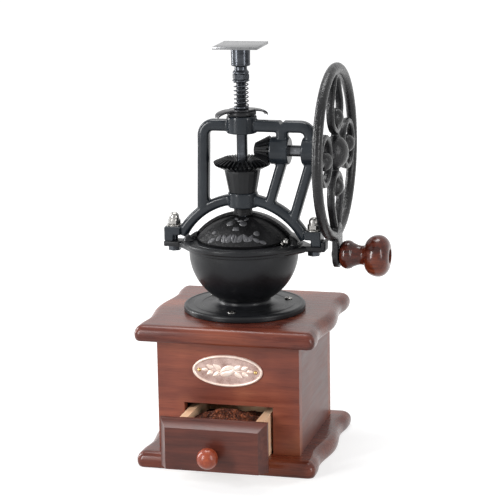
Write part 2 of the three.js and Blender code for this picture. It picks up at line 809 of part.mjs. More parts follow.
function lidRearShell() {
  const innerRadius = lidRadius - lidWall
  const whole = shell(lidRadius, lidWall, boreRadius + slipGap)
  const rear = whole.intersect(box(-lidRadius, lidRadius, 0, lidRadius, 0, lidHubTopZ + cutOverrun))
  const hubBottomZ = lidCentreZ + innerRadius
  const hub = turned([
    [boreRadius + slipGap, hubBottomZ], [lidHubRadius, hubBottomZ], [lidHubRadius, lidHubTopZ],
    [boreRadius + slipGap, lidHubTopZ],
  ], boreCount)
  const tabStart = sphereRadiusAt(innerRadius, lidCentreZ, shellBottomZ) - lidWall
  const tabs = [-1, 1].map((side) => {
    const tab = new THREE.Shape()
    tab.moveTo(side * tabStart, shellBottomZ)
    tab.lineTo(side * (tabStart + lidTabReach + lidWall), shellBottomZ)
    tab.lineTo(side * (tabStart + lidTabReach / 2 + lidWall), shellBottomZ + lidTabRise)
    tab.lineTo(side * tabStart, shellBottomZ + lidTabRise)
    return extrudedAlongY(tab, -lidTabDepth, lidTabDepth)
  })
  const clearance = turned([
    [0, lidCentreZ],
    ...spherePoints(innerRadius, lidCentreZ, lidCentreZ, hubBottomZ - seatGap, castCount).slice(0, -1),
    [0, hubBottomZ - seatGap],
  ], castCount)
  return rear.add(hub).add(union(tabs).subtract(clearance))
}

function hopperDoor() {
  const innerRadius = doorRadius - lidWall
  const hubBore = boreRadius + slipGap + lidPlay
  const lap = lidRadius * Math.sin(doorLapDegrees * degree)
  const wedge = new THREE.Shape()
  wedge.moveTo(0, 0)
  wedge.lineTo(lidRadius, lap)
  wedge.lineTo(lidRadius, -lidRadius)
  wedge.lineTo(-lidRadius, -lidRadius)
  wedge.lineTo(-lidRadius, lap)
  const half = solid(new THREE.ExtrudeGeometry(wedge, { depth: lidHubTopZ, bevelEnabled: false }))
  const front = shell(doorRadius, lidWall, hubBore).intersect(half)
  const hubLowZ = lidCentreZ + sphereRadiusAt(innerRadius, 0, doorHubRadius)
  const hub = turned([
    [hubBore, hubLowZ], [doorHubRadius, hubLowZ],
    [doorHubRadius, lidCentreZ + sphereRadiusAt(doorRadius, 0, doorHubRadius)],
    [hubBore, lidCentreZ + sphereRadiusAt(doorRadius, 0, hubBore)],
  ], boreCount)
  return front.add(hub)
}

function doorKnob() {
  const start = doorRadius + seatGap
  const centre = start + doorKnobReach + doorKnobRadius
  const ball = knobBallShares.map(([across, along]) => (
    [across * doorKnobRadius, centre + along * doorKnobRadius]))
  const outline = [
    ...ball, [doorKnobStemRadius, centre - doorKnobRadius], [doorKnobStemRadius, start], [0, start],
  ]
  const geometry = turnedGeometry(outline, smallCount)
  geometry.rotateY(Math.PI / 2 - doorKnobAngle).rotateZ(doorKnobDegrees * degree)
  return solid(geometry.translate(0, 0, lidCentreZ))
}

// Frame casting with its bolts

function mainFrame() {
  const arch = bar(arcPoints(0, archCentreZ, archRadius, Math.PI - archEndAngle, archEndAngle,
    archStepCount), archWidth, barDepth)
  const onArch = (x) => archCentreZ + Math.sqrt(archRadius ** 2 - x ** 2)
  const crownStartZ = crownZ - crownCorner
  const hoop = bar([
    [-legFootX, onArch(legFootX)], [-legHeadX, crownStartZ],
    ...arcPoints(crownCorner - legHeadX, crownStartZ, crownCorner, crownBendDegrees * degree,
      Math.PI / 2, cornerStepCount),
    [0, crownZ],
    ...arcPoints(crownEndX - crownCorner, crownStartZ, crownCorner, Math.PI / 2, 0, cornerStepCount),
    [crownEndX, shaftAxisZ],
  ], barWidth, barDepth)
  const post = bar([[postX, crownZ], [postX, shaftAxisZ]], barWidth, barDepth)
  const innerStrut = bar([[innerStrutHeadX, shaftAxisZ], [innerStrutFootX, onArch(innerStrutFootX)]],
    strutWidth, barDepth)
  const outerStrut = bar([[outerStrutHeadX, shaftAxisZ], [outerStrutFootX, onArch(outerStrutFootX)]],
    strutWidth, barDepth)
  const bosses = [
    rod(lowerBossRadius, lowerBossBottomZ, lowerBossTopZ, roundCount),
    rod(upperBossRadius, upperBossBottomZ, upperBossTopZ, roundCount),
    rodAlongX(sideBossRadius, innerBossStartX, innerBossEndX, shaftAxisZ, roundCount),
    rodAlongX(sideBossRadius, outerBossStartX, outerBossEndX, shaftAxisZ, roundCount),
  ]
  const feet = [-1, 1].flatMap((side) => {
    const inner = archRadius * Math.cos(archEndAngle)
    const outer = boltOffset + footWidth / 2
    const block = (from, lowZ, highZ) => {
      const [low, high] = [side * from, side * outer].sort((a, b) => a - b)
      return box(low, high, -footDepth / 2, footDepth / 2, lowZ, highZ)
    }
    return [
      block(inner, footStepZ, footTopZ),
      block(inner + footStepWidth, earTopZ + seatGap, footStepZ + seatGap),
    ]
  })
  const bushBore = rod(bushSleeveRadius + slipGap, upperBossTopZ - bushSleeveLength,
    upperBossTopZ + cutOverrun, boreCount)
  const shaftBore = rod(boreRadius, lowerBossBottomZ - cutOverrun, upperBossTopZ, boreCount)
  const wheelBore = rodAlongX(wheelShaftRadius + runningGap, innerBossStartX - cutOverrun,
    outerBossEndX + cutOverrun, shaftAxisZ, boreCount)
  const boltHoles = [-1, 1].map((side) => solid(turnedGeometry([
    [0, earTopZ - cutOverrun], [boltRadius + runningGap, earTopZ - cutOverrun],
    [boltRadius + runningGap, footTopZ], [washerRadius + slipGap, footTopZ],
    [washerRadius + slipGap, footTopZ + nutHexHeight], [0, footTopZ + nutHexHeight],
  ], nutRoundCount).translate(side * boltOffset, 0, 0)))
  const crownTopZ = crownZ + barWidth / 2
  const notchShape = new THREE.Shape()
  notchShape.moveTo(postX - notchWidth / 2, crownTopZ + seatGap)
  notchShape.lineTo(postX, crownTopZ - notchDepth)
  notchShape.lineTo(postX + notchWidth / 2, crownTopZ + seatGap)
  const notch = extrudedAlongY(notchShape, -barDepth, barDepth)
  const lidRoom = turned([
    [0, archCentreZ], ...spherePoints(archInnerRadius - runningGap, archCentreZ, archCentreZ,
      lowerBossBottomZ - lidRoomDrop, archStepCount),
    [lidHubRadius + slipGap, lowerBossBottomZ], [0, lowerBossBottomZ],
  ], roundCount)
  return union([arch, hoop, post, innerStrut, outerStrut, ...bosses, ...feet])
    .subtract(union([bushBore, shaftBore, wheelBore, notch, lidRoom, ...boltHoles]))
}

function frameBolt(side) {
  const headTopZ = earTopZ - earThickness - seatGap
  const tipZ = footTopZ + washerThickness + nutHexHeight
  const bolt = hexPrism(boltHeadAcross, headTopZ - boltHeadHeight, headTopZ)
    .add(rod(boltRadius, headTopZ - boltHeadHeight / 2, tipZ))
  return bolt.translate(side * boltOffset, 0, 0)
}

function frameWasher(side) {
  const bottom = footTopZ + seatGap
  const ring = turnedGeometry([
    [boltRadius + runningGap, bottom], [washerRadius, bottom], [washerRadius, bottom + washerThickness],
    [boltRadius + runningGap, bottom + washerThickness],
  ], nutRoundCount)
  return solid(ring.translate(side * boltOffset, 0, 0))
}

function acornNut(side) {
  const bottom = footTopZ + washerThickness + 2 * seatGap
  const shoulder = bottom + nutHexHeight
  const domeCentre = shoulder + nutDomeRise
  const dome = turned([
    [0, bottom], [nutDomeRadius, bottom], [nutDomeRadius, domeCentre],
    ...spherePoints(nutDomeRadius, domeCentre, domeCentre, domeCentre + nutDomeRadius,
      cornerStepCount).slice(1, -1),
    [0, domeCentre + nutDomeRadius],
  ], nutRoundCount)
  const bore = rod(boltRadius + runningGap, bottom - cutOverrun, shoulder + nutDomeRise)
  return hexPrism(nutAcross, bottom, shoulder).add(dome).subtract(bore).translate(side * boltOffset, 0, 0)
}

// Main shaft, burrs and grind adjuster

function flattened(radius, flat, lowZ, highZ) {
  return rod(radius, lowZ, highZ, boreCount)
    .intersect(box(-radius, radius, -flat, radius, lowZ, highZ))
}

function mainShaft() {
  const keyStartZ = lowerBossTopZ - mainShaftLift
  const lower = rod(mainShaftRadius, mainShaftBottomZ, keyStartZ + seatGap, boreCount)
  const keyed = flattened(mainShaftRadius, mainShaftFlat, keyStartZ, upperBossBottomZ)
  const upper = rod(mainShaftRadius, upperBossBottomZ - seatGap, threadStartZ, boreCount)
  const thread = rod(threadRadius, threadStartZ - seatGap, mainShaftTopZ, boreCount)
  return union([lower, keyed, upper, thread])
}

function coneBurr() {
  const bore = mainShaftRadius + seatGap
  const count = coneFluteCount * fluteStepCount
  const rings = Array.from({ length: coneStepCount + 1 }, (_, level) => {
    const share = level / coneStepCount
    const radius = coneBottomRadius + (coneTopRadius - coneBottomRadius) * share
    return Array.from({ length: count }, (_, k) => {
      const depth = k % fluteStepCount === 0 ? coneFluteDepth : 0
      const angle = 2 * Math.PI * (k / count + coneTwistShare * share)
      return new THREE.Vector3((radius - depth) * Math.cos(angle), (radius - depth) * Math.sin(angle),
        coneBottomZ + coneHeight * share)
    })
  })
  return loft(rings)
    .subtract(rod(bore, coneBottomZ - cutOverrun, coneBottomZ + coneHeight + cutOverrun, boreCount))
}

function burrNut() {
  const top = coneBottomZ - seatGap
  return hexPrism(burrNutAcross, top - burrNutHeight, top)
    .subtract(rod(mainShaftRadius + seatGap, top - burrNutHeight - cutOverrun, top + cutOverrun, boreCount))
}

function collar(outline) {
  const heights = outline.map((point) => point[1])
  const [lowZ, highZ] = [Math.min(...heights), Math.max(...heights)]
  return turned([[0, lowZ], ...outline, [0, highZ]], boreCount)
    .subtract(rod(boreRadius, lowZ - cutOverrun, highZ + cutOverrun, boreCount))
}

function adjusterBush() {
  return collar([
    [bushSleeveRadius, upperBossTopZ - bushSleeveLength + cutOverrun], [bushSleeveRadius, bushBottomZ],
    [bushFlangeRadius, bushBottomZ], [bushFlangeRadius, bushBottomZ + bushFlangeHeight],
  ])
}

function adjusterWings() {
  const top = wingPlateZ + wingPlateThickness
  const plate = collar([[wingPlateRadius, wingPlateZ], [wingPlateRadius, top]])
  const start = wingPlateRadius - wingPlateThickness
  const wing = Array.from({ length: wingStepCount + 1 }, (_, k) => {
    const share = k / wingStepCount
    const radius = start + (wingReach - start) * Math.sin(share * Math.PI / 2)
    const drop = wingDrop * (1 - Math.cos(share * Math.PI / 2)) + wingSink
    const half = wingWidth / 2 * (1 - wingTipShare * share ** 4)
    return [[-half, 0], [half, 0], [half, -1], [-half, -1]].map(([across, down]) => (
      new THREE.Vector3(radius, across, top - drop + down * wingPlateThickness * wingEdgeShare)))
  })
  const wings = [0, 180].map((turn) => solid(loftGeometry(wing).rotateZ((wingDegrees + turn) * degree)))
  const bore = rod(boreRadius, wingPlateZ - cutOverrun, top + cutOverrun, boreCount)
  return union([plate, ...wings]).subtract(bore)
}

function springSeat() {
  return collar([[springSeatRadius, springSeatZ], [springSeatRadius, springSeatZ + springSeatHeight]])
}

function springCap() {
  return collar([
    [springCapRadius, springCapZ], [springCapRadius, springCapZ + springCapHeight / 2],
    [springCapRadius * springCapTopShare, springCapZ + springCapHeight],
  ])
}

class SpringPath extends THREE.Curve {
  getPoint(share, target = new THREE.Vector3()) {
    const angle = 2 * Math.PI * springCurlCount * share
    const height = springBottomZ + springWire / 2 + (springLength - springWire) * share
    return target.set(springMeanRadius * Math.cos(angle), springMeanRadius * Math.sin(angle), height)
  }
}

// One unbroken tube, with ends that run straight for one wire width.
function springPlaces() {
  const path = new SpringPath()
  const steps = springCurlCount * springStepCount
  const places = Array.from({ length: steps + 1 }, (_, k) => path.getPoint(k / steps))
  const lead = (from, to) => to.clone().sub(from).normalize().multiplyScalar(-springWire).add(from)
  return [lead(places[0], places[1]), ...places, lead(places[steps], places[steps - 1])]
}

function adjusterSpring() {
  const places = springPlaces()
  const rings = places.map((place, k) => {
    const before = places[Math.max(k - 1, 0)]
    const after = places[Math.min(k + 1, places.length - 1)]
    const along = after.clone().sub(before).normalize()
    const outward = new THREE.Vector3(place.x, place.y, 0).normalize()
    const across = outward.clone().addScaledVector(along, -outward.dot(along)).normalize()
    const upward = along.clone().cross(across)
    return Array.from({ length: springSideCount }, (_, side) => {
      const angle = 2 * Math.PI * side / springSideCount
      return place.clone().addScaledVector(across, springWire / 2 * Math.cos(angle))
        .addScaledVector(upward, springWire / 2 * Math.sin(angle))
    })
  })
  return loft(rings)
}

function springLeastGap() {
  const path = new SpringPath()
  const places = Array.from({ length: springSampleCount + 1 }, (_, k) => path.getPoint(k / springSampleCount))
  const apart = springSampleCount / springCurlCount / 2
  let least = Infinity
  places.forEach((place, k) => {
    places.slice(k + Math.ceil(apart)).forEach((other) => {
      least = Math.min(least, place.distanceTo(other))
    })
  })
  return least - springWire
}

function hexNut() {
  return hexPrism(hexNutAcross, hexNutZ, hexNutZ + hexNutHeight)
    .subtract(rod(boreRadius, hexNutZ - cutOverrun, hexNutZ + hexNutHeight + cutOverrun, boreCount))
}

function topNut() {
  return collar([
    [topNutRadius, topNutZ], [topNutCrown, topNutZ + topNutHeight / 2], [topNutCrown, topNutZ + topNutHeight],
  ])
}

function topSocket() {
  return turned([
    [socketRadius - socketWall, socketZ], [socketRadius, socketZ], [socketRadius, socketZ + socketHeight],
    [socketRadius - socketWall, socketZ + socketHeight],
  ], boreCount)
}

function topPlate() {
  return box(-topPlateWidth / 2, topPlateWidth / 2, -topPlateDepth / 2, topPlateDepth / 2,
    topPlateZ, topPlateZ + topPlateThickness).rotate([0, 0, topPlateDegrees])
}

// Bevel gears: the shared apex of both pitch cones lies where the two shaft axes cross.

function bevelTeeth(teethCount, pitchRadius, matePitchRadius, innerOutline, startShare) {
  const coneLength = Math.hypot(pitchRadius, matePitchRadius)
  const [sine, cosine] = [pitchRadius / coneLength, matePitchRadius / coneLength]
  const toeShare = (coneLength - gearFace) / coneLength
  const toothPoint = (lengthShare, height) => [
    (pitchRadius + cosine * height) * lengthShare, (-matePitchRadius + sine * height) * lengthShare,
  ]
  const rings = []
  for (let tooth = 0; tooth < teethCount; tooth += 1) {
    const corners = [[-toothRootShare, 0], [-toothTipShare, 1], [toothTipShare, 1], [toothRootShare, 0]]
    corners.forEach(([turn, tip]) => {
      const angle = 2 * Math.PI * (tooth + startShare + turn) / teethCount
      const height = tip ? toothAddendum : -toothDedendum
      const profile = [...innerOutline, toothPoint(1, height), toothPoint(toeShare, height)]
      rings.push(profile.map(([radius, z]) => (
        new THREE.Vector3(radius * Math.cos(angle), radius * Math.sin(angle), z))))
    })
  }
  return loftGeometry(rings, true)
}

function drivenGear() {
  const toe = 1 - gearFace / Math.hypot(gearPitchRadius, pinionPitchRadius)
  const hubTopZ = -pinionPitchRadius - toothDedendum - gearBackDrop
  const hubBottomZ = lowerBossTopZ + slipGap - shaftAxisZ
  const dishZ = -(pinionPitchRadius + toothDedendum) * toe - gearWeb
  const dishRadius = (gearPitchRadius - toothDedendum) * toe - gearWeb
  const rim = solid(bevelTeeth(gearTeethCount, gearPitchRadius, pinionPitchRadius, [
    [dishRadius - gearWeb, dishZ], [gearHubTopRadius - gearWeb, hubTopZ],
  ], gearStartShare))
  const hub = turned([
    [0, hubBottomZ], [gearHubBottomRadius, hubBottomZ], [gearHubTopRadius, hubTopZ],
    [gearHubTopRadius, hubTopZ + gearWeb], [dishRadius, dishZ - seatGap], [0, dishZ - seatGap],
  ], boreCount)
  const bore = flattened(boreRadius, mainShaftFlat + runningGap, lowerBossTopZ, shaftAxisZ)
  return rim.add(hub).translate(0, 0, shaftAxisZ).subtract(bore)
}

function bevelPinion() {
  const core = wheelShaftRadius / 2
  const coneLength = Math.hypot(gearPitchRadius, pinionPitchRadius)
  const toe = (coneLength - gearFace) / coneLength
  const heelBack = -gearPitchRadius - toothDedendum / 2
  const hubFront = -gearPitchRadius * toe + pinionHubLength
  const innerOutline = [
    [pinionHubRadius, hubFront], [core, hubFront], [core, heelBack],
    [pinionPitchRadius - toothDedendum, heelBack],
  ]
  const geometry = bevelTeeth(pinionTeethCount, pinionPitchRadius, gearPitchRadius, innerOutline,
    pinionStartShare)
  geometry.rotateY(-Math.PI / 2).rotateX(pinionTurn).translate(0, 0, shaftAxisZ)
  const bore = rodAlongX(wheelShaftRadius + seatGap, 0, gearPitchRadius + cutOverrun, shaftAxisZ, boreCount)
  return solid(geometry).subtract(bore).subtract(crossPinHole())
}

function crossPinHole() {
  return rod(crossPinRadius + seatGap, -pinionHubRadius - cutOverrun, pinionHubRadius + cutOverrun)
    .translate(crossPinX, 0, shaftAxisZ)
}

function pinionPin() {
  return rod(crossPinRadius, -pinionHubRadius, pinionHubRadius).translate(crossPinX, 0, shaftAxisZ)
}

// Handwheel, its shaft and the crank

function ballAt(y, z, radius, rise) {
  const geometry = new THREE.SphereGeometry(1, ballRoundCount, ballRiseCount).scale(rise, radius, radius)
  return solid(geometry.translate(wheelPlaneX, y, z + shaftAxisZ))
}

// The outline round two circles in line, drawn along +Y of the shape.
function dropShape(lobeRadius, lobeOffset, tipRadius, tipOffset) {
  const slope = Math.asin((lobeRadius - tipRadius) / (tipOffset - lobeOffset))
  const shape = new THREE.Shape()
  shape.absarc(0, lobeOffset, lobeRadius, Math.PI - slope, 2 * Math.PI + slope, false)
  shape.absarc(0, tipOffset, tipRadius, slope, Math.PI - slope, false)
  return shape
}

function wheelBars(shape) {
  const low = wheelPlaneX - wheelBarThickness / 2
  return extrudedAlongX(shape, low, low + wheelBarThickness)
}

function aboutWheel(piece, angle) {
  return piece.translate(0, 0, -shaftAxisZ).rotate([angle, 0, 0]).translate(0, 0, shaftAxisZ)
}

function handwheel() {
  const rimRadiusMid = wheelRadius - wheelRimWidth / 2
  const rim = solid(new THREE.TorusGeometry(rimRadiusMid, wheelRimWidth / 2, rimSideCount, rimCount)
    .rotateY(Math.PI / 2).scale(wheelRimDepth / wheelRimWidth, 1, 1).translate(wheelPlaneX, 0, shaftAxisZ))
  const drop = dropShape(dropLobeRadius, dropLobeOffset, dropTipRadius, dropTipOffset)
  drop.holes.push(dropShape(dropLobeRadius - dropBarWidth, dropLobeOffset, dropTipRadius - dropBarWidth,
    dropTipOffset))
  const dropBars = wheelBars(drop).translate(0, 0, shaftAxisZ)
    .add(ballAt(0, dropBallOffset, wheelBallRadius, wheelBallRise))
  const ring = new THREE.Shape().absarc(0, ringOffset, ringOuterRadius, 0, 2 * Math.PI, false)
  ring.holes.push(new THREE.Path().absarc(0, ringOffset, ringOuterRadius - ringBarWidth, 0, 2 * Math.PI,
    true))
  const ringBars = wheelBars(ring).translate(0, 0, shaftAxisZ)
    .add(ballAt(0, ringOffset, wheelBallRadius, wheelBallRise))
  const barOfLength = (half) => box(wheelPlaneX - wheelBarThickness / 2, wheelPlaneX + wheelBarThickness / 2,
    -wheelSpokeWidth / 2, wheelSpokeWidth / 2, shaftAxisZ - half, shaftAxisZ + half)
  const dome = ballAt(0, 0, wheelHubRadius, wheelDomeRise)
  const boss = rodAlongX(wheelBossRadius, wheelHubStartX, wheelPlaneX, shaftAxisZ, boreCount)
  const tabLow = wheelPlaneX + crankTabOffset - crankTabThickness / 2
  const tabHigh = tabLow + crankTabThickness
  const tab = dropShape(crankTabRadius, -crankRadius, crankTabRadius * tabRootShare, -rimRadiusMid)
  const tabPlate = extrudedAlongX(tab, tabLow, tabHigh).translate(0, 0, shaftAxisZ)
  const blind = rodAlongX(wheelShaftRadius + seatGap, wheelHubStartX - cutOverrun, wheelPlaneX,
    shaftAxisZ, boreCount)
  const spindleHole = rodAlongX(spindleRadius + seatGap, tabLow - cutOverrun, tabHigh + cutOverrun,
    crankAxisZ, boreCount)
  const loops = [0, 180].map((angle) => aboutWheel(dropBars, angle))
    .concat([90, 270].map((angle) => aboutWheel(ringBars, angle)))
  const spokes = [aboutWheel(barOfLength(rimRadiusMid), 90), barOfLength(dropBallOffset)]
  return union([rim, ...loops, ...spokes, dome, boss, tabPlate]).subtract(blind).subtract(spindleHole)
}

function wheelShaft() {
  const start = gearPitchRadius - gearFace - pinionHubLength + seatGap
  return rodAlongX(wheelShaftRadius, start, wheelPlaneX - seatGap, shaftAxisZ, boreCount)
    .subtract(crossPinHole())
}

function crankSpindle() {
  const tabBackX = tabFaceX - crankTabThickness
  const seatX = gripEndX - gripRecessDepth + slipGap
  return union([
    rodAlongX(spindleRadius, tabBackX - spindleRivetHeight / 2, seatX + spindleHeadHeight / 2,
      crankAxisZ, boreCount),
    rodAlongX(spindleHeadRadius, tabBackX - seatGap - spindleRivetHeight, tabBackX - seatGap,
      crankAxisZ, boreCount),
    rodAlongX(spindleHeadRadius, seatX, seatX + spindleHeadHeight, crankAxisZ, boreCount),
  ])
}

function crankGrip() {
  const bore = spindleRadius + runningGap
  const outline = gripShares.map(([along, across]) => [across * gripRadius, gripStartX + along * gripLength])
  return turnedAlongX([
    [bore, gripStartX], ...outline, [gripRecessRadius, gripEndX],
    [gripRecessRadius, gripEndX - gripRecessDepth], [bore, gripEndX - gripRecessDepth],
  ], crankAxisZ, gripCount)
}

// Materials

const finishes = {
  wood: { color: 0x5b2417, roughness: 0.42, metalness: 0 },
  gripWood: { color: 0x5a1a0d, roughness: 0.28, metalness: 0 },
  knobWood: { color: 0x8a3a22, roughness: 0.32, metalness: 0 },
  pine: { color: 0xe3b889, roughness: 0.7, metalness: 0 },
  plywood: { color: 0xcaa172, roughness: 0.75, metalness: 0 },
  castIron: { color: 0x26282c, roughness: 0.55, metalness: 0.7 },
  wheelIron: { color: 0x35373a, roughness: 0.7, metalness: 0.6 },
  frameIron: { color: 0x2a323a, roughness: 0.42, metalness: 0.75 },
  gearIron: { color: 0x17181a, roughness: 0.5, metalness: 0.6 },
  steel: { color: 0x9a9ca0, roughness: 0.35, metalness: 1 },
  darkSteel: { color: 0x2f3238, roughness: 0.35, metalness: 0.9 },
  chrome: { color: 0xd8dadd, roughness: 0.12, metalness: 1 },
  copper: { color: 0xb8795c, roughness: 0.45, metalness: 0.9 },
  brass: { color: 0xc9a35a, roughness: 0.35, metalness: 1 },
}

const group = new THREE.Group()

function addPiece(name, manifold, finish) {
  const mesh = manifold.getMesh()
  const geometry = new THREE.BufferGeometry()
  const places = new Float32Array(mesh.numVert * 3)
  for (let vertex = 0; vertex < mesh.numVert; vertex += 1) {
    for (let axis = 0; axis < 3; axis += 1) {
      places[vertex * 3 + axis] = mesh.vertProperties[vertex * mesh.numProp + axis]
    }
  }
  geometry.setAttribute('position', new THREE.BufferAttribute(places, 3))
  geometry.setIndex(Array.from(mesh.triVerts))
  geometry.computeVertexNormals()
  const piece = new THREE.Mesh(geometry, new THREE.MeshStandardMaterial(finishes[finish]))
  piece.name = name
  group.add(piece)
}

addPiece('base_board', baseBoard(), 'wood')
addPiece('top_board', topBoard(), 'wood')
addPiece('cabinet_front_panel', frontPanel(), 'wood')
addPiece('cabinet_back_panel', backPanel(), 'wood')
addPiece('cabinet_left_panel', sidePanel(-1), 'wood')
addPiece('cabinet_right_panel', sidePanel(1), 'wood')
addPiece('drawer_guide_left', drawerGuide(-1), 'pine')
addPiece('drawer_guide_right', drawerGuide(1), 'pine')
addPiece('plaque', plaque(), 'copper')
addPiece('plaque_pin_left', plaquePin(-1), 'brass')
addPiece('plaque_pin_right', plaquePin(1), 'brass')

addPiece('drawer_front', drawerFront(), 'wood')
addPiece('drawer_left_side', drawerSide(-1), 'pine')
addPiece('drawer_right_side', drawerSide(1), 'pine')
addPiece('drawer_back', drawerBack(), 'pine')
addPiece('drawer_bottom', drawerBottom(), 'plywood')
addPiece('drawer_knob', drawerKnob(), 'knobWood')
addPiece('drawer_knob_screw', drawerKnobScrew(), 'steel')

addPiece('hopper_bowl', hopperBowl(), 'castIron')
flangeScrewDegrees.forEach((angle, k) => addPiece(`flange_screw_${k + 1}`, flangeScrew(angle), 'steel'))
addPiece('ring_burr', ringBurr(), 'steel')
addPiece('lid_rear_shell', lidRearShell(), 'castIron')
addPiece('hopper_door', hopperDoor(), 'castIron')
addPiece('door_knob', doorKnob(), 'chrome')

addPiece('main_frame', mainFrame(), 'frameIron')
frameSides.forEach(([word, side]) => {
  addPiece(`frame_bolt_${word}`, frameBolt(side), 'steel')
  addPiece(`frame_washer_${word}`, frameWasher(side), 'chrome')
  addPiece(`acorn_nut_${word}`, acornNut(side), 'chrome')
})

addPiece('main_shaft', mainShaft(), 'darkSteel')
addPiece('cone_burr', coneBurr(), 'steel')
addPiece('burr_nut', burrNut(), 'steel')
addPiece('adjuster_bush', adjusterBush(), 'gearIron')
addPiece('adjuster_wings', adjusterWings(), 'darkSteel')
addPiece('spring_seat', springSeat(), 'darkSteel')
addPiece('adjuster_spring', adjusterSpring(), 'steel')
addPiece('spring_cap', springCap(), 'darkSteel')
addPiece('hex_lock_nut', hexNut(), 'darkSteel')
addPiece('top_nut', topNut(), 'darkSteel')
addPiece('top_socket', topSocket(), 'darkSteel')
addPiece('top_plate', topPlate(), 'darkSteel')

addPiece('driven_bevel_gear', drivenGear(), 'gearIron')
addPiece('bevel_pinion', bevelPinion(), 'gearIron')
addPiece('pinion_pin', pinionPin(), 'steel')
addPiece('wheel_shaft', wheelShaft(), 'darkSteel')
addPiece('handwheel', handwheel(), 'wheelIron')
addPiece('crank_spindle', crankSpindle(), 'steel')
addPiece('crank_grip', crankGrip(), 'gripWood')

console.log(`spring: least gap to itself ${springLeastGap().toFixed(2)} mm`)

export default group
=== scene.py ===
"""Hand crank coffee grinder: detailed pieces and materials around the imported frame."""

import math
import random

import bmesh
import bpy
from mathutils import Matrix, Vector, noise


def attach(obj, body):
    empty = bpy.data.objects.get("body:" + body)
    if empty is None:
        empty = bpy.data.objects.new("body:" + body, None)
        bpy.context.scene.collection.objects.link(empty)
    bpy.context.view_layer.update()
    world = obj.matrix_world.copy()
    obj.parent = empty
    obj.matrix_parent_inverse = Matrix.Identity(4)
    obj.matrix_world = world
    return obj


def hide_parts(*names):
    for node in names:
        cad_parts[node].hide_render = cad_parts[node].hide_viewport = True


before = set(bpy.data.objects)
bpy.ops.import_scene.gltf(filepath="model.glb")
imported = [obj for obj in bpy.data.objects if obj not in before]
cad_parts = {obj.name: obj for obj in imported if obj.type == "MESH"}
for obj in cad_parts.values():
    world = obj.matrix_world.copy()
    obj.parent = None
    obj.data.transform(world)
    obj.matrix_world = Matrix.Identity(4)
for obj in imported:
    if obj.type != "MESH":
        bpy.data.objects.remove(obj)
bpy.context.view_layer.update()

MM = 0.001
TURN = 2 * math.pi
DEGREE = math.pi / 180
# Gap in millimetres between pieces that rest on each other
SEAT = 0.05

# Camera in millimetres, fitted to the photograph
CAMERA_PLACE = (435.54, -1622.34, 565.68)
CAMERA_FORWARD = (-0.24972, 0.94214, -0.22362)
CAMERA_ROLL_DEGREES = 0.972
FOCAL_PIXELS = 1951.54
IMAGE_PIXELS = 500
SENSOR_WIDTH = 36


def add_object(name, data):
    made = bpy.data.objects.new(name, data)
    bpy.context.scene.collection.objects.link(made)
    return made


def make_camera():
    data = bpy.data.cameras.new("camera")
    camera = add_object("camera", data)
    data.sensor_width = SENSOR_WIDTH
    data.lens = SENSOR_WIDTH * FOCAL_PIXELS / IMAGE_PIXELS
    forward = Vector(CAMERA_FORWARD).normalized()
    level = Vector((forward.y, -forward.x, 0)).normalized()
    upright = level.cross(forward)
    roll = CAMERA_ROLL_DEGREES * DEGREE
    right = level * math.cos(roll) - upright * math.sin(roll)
    up = right.cross(forward)
    turn = Matrix((right, up, -forward)).transposed().to_4x4()
    camera.matrix_world = Matrix.Translation(Vector(CAMERA_PLACE) * MM) @ turn
    bpy.context.scene.camera = camera


make_camera()


# Node materials

def new_node(tree, kind, values=None, **settings):
    made = tree.nodes.new(f"ShaderNode{kind}")
    for key, value in settings.items():
        setattr(made, key, value)
    for key, value in (values or {}).items():
        if isinstance(value, bpy.types.NodeSocket):
            tree.links.new(value, made.inputs[key])
        else:
            made.inputs[key].default_value = value
    return made


def new_material(name, **sockets):
    material = bpy.data.materials.new(name)
    material.use_nodes = True
    tree = material.node_tree
    shader = tree.nodes["Principled BSDF"]
    for key, value in sockets.items():
        shader.inputs[key.replace("_", " ").title().replace("Ior", "IOR")].default_value = value
    return material, tree, shader


def object_place(tree, scale=(1, 1, 1)):
    place = new_node(tree, "TexCoord").outputs["Object"]
    return new_node(tree, "Mapping", {"Vector": place, "Scale": scale}).outputs["Vector"]


def noise_value(tree, place, scale, detail, roughness, distortion=0.0):
    made = new_node(tree, "TexNoise", {
        "Vector": place, "Scale": scale, "Detail": detail, "Roughness": roughness,
        "Distortion": distortion,
    })
    return made.outputs["Fac"]


def arithmetic(tree, operation, first, second):
    return new_node(tree, "Math", {0: first, 1: second}, operation=operation).outputs[0]


def weighted(tree, first, first_share, second, second_share):
    return arithmetic(tree, "ADD", arithmetic(tree, "MULTIPLY", first, first_share),
                      arithmetic(tree, "MULTIPLY", second, second_share))


def spread(tree, value, low, high, to_low=0.0, to_high=1.0):
    made = new_node(tree, "MapRange", {
        "Value": value, "From Min": low, "From Max": high, "To Min": to_low, "To Max": to_high,
    })
    return made.outputs["Result"]


def ramp(tree, value, stops):
    made = new_node(tree, "ValToRGB", {"Fac": value})
    bar = made.color_ramp
    while len(bar.elements) < len(stops):
        bar.elements.new(0.5)
    for element, (position, colour) in zip(bar.elements, stops):
        element.position = position
        element.color = (*colour, 1)
    return made.outputs["Color"]


def mixed(tree, share, first, second):
    first, second = (value if isinstance(value, bpy.types.NodeSocket) else (*value, 1)
                     for value in (first, second))
    return new_node(tree, "Mix", {0: share, 6: first, 7: second}, data_type="RGBA").outputs[2]


def feed(tree, shader, colour, roughness, height, strength, distance):
    """Gives a material its colour, roughness and bump."""
    bump = new_node(tree, "Bump", {"Height": height, "Strength": strength, "Distance": distance})
    normal = bump.outputs["Normal"]
    for socket, value in (("Base Color", colour), ("Roughness", roughness), ("Normal", normal)):
        tree.links.new(value, shader.inputs[socket])


COAT_ROUGHNESS = 0.16
STREAK_STRETCH = 16
PORE_FINENESS = 6
PORE_STRETCH = 3.5


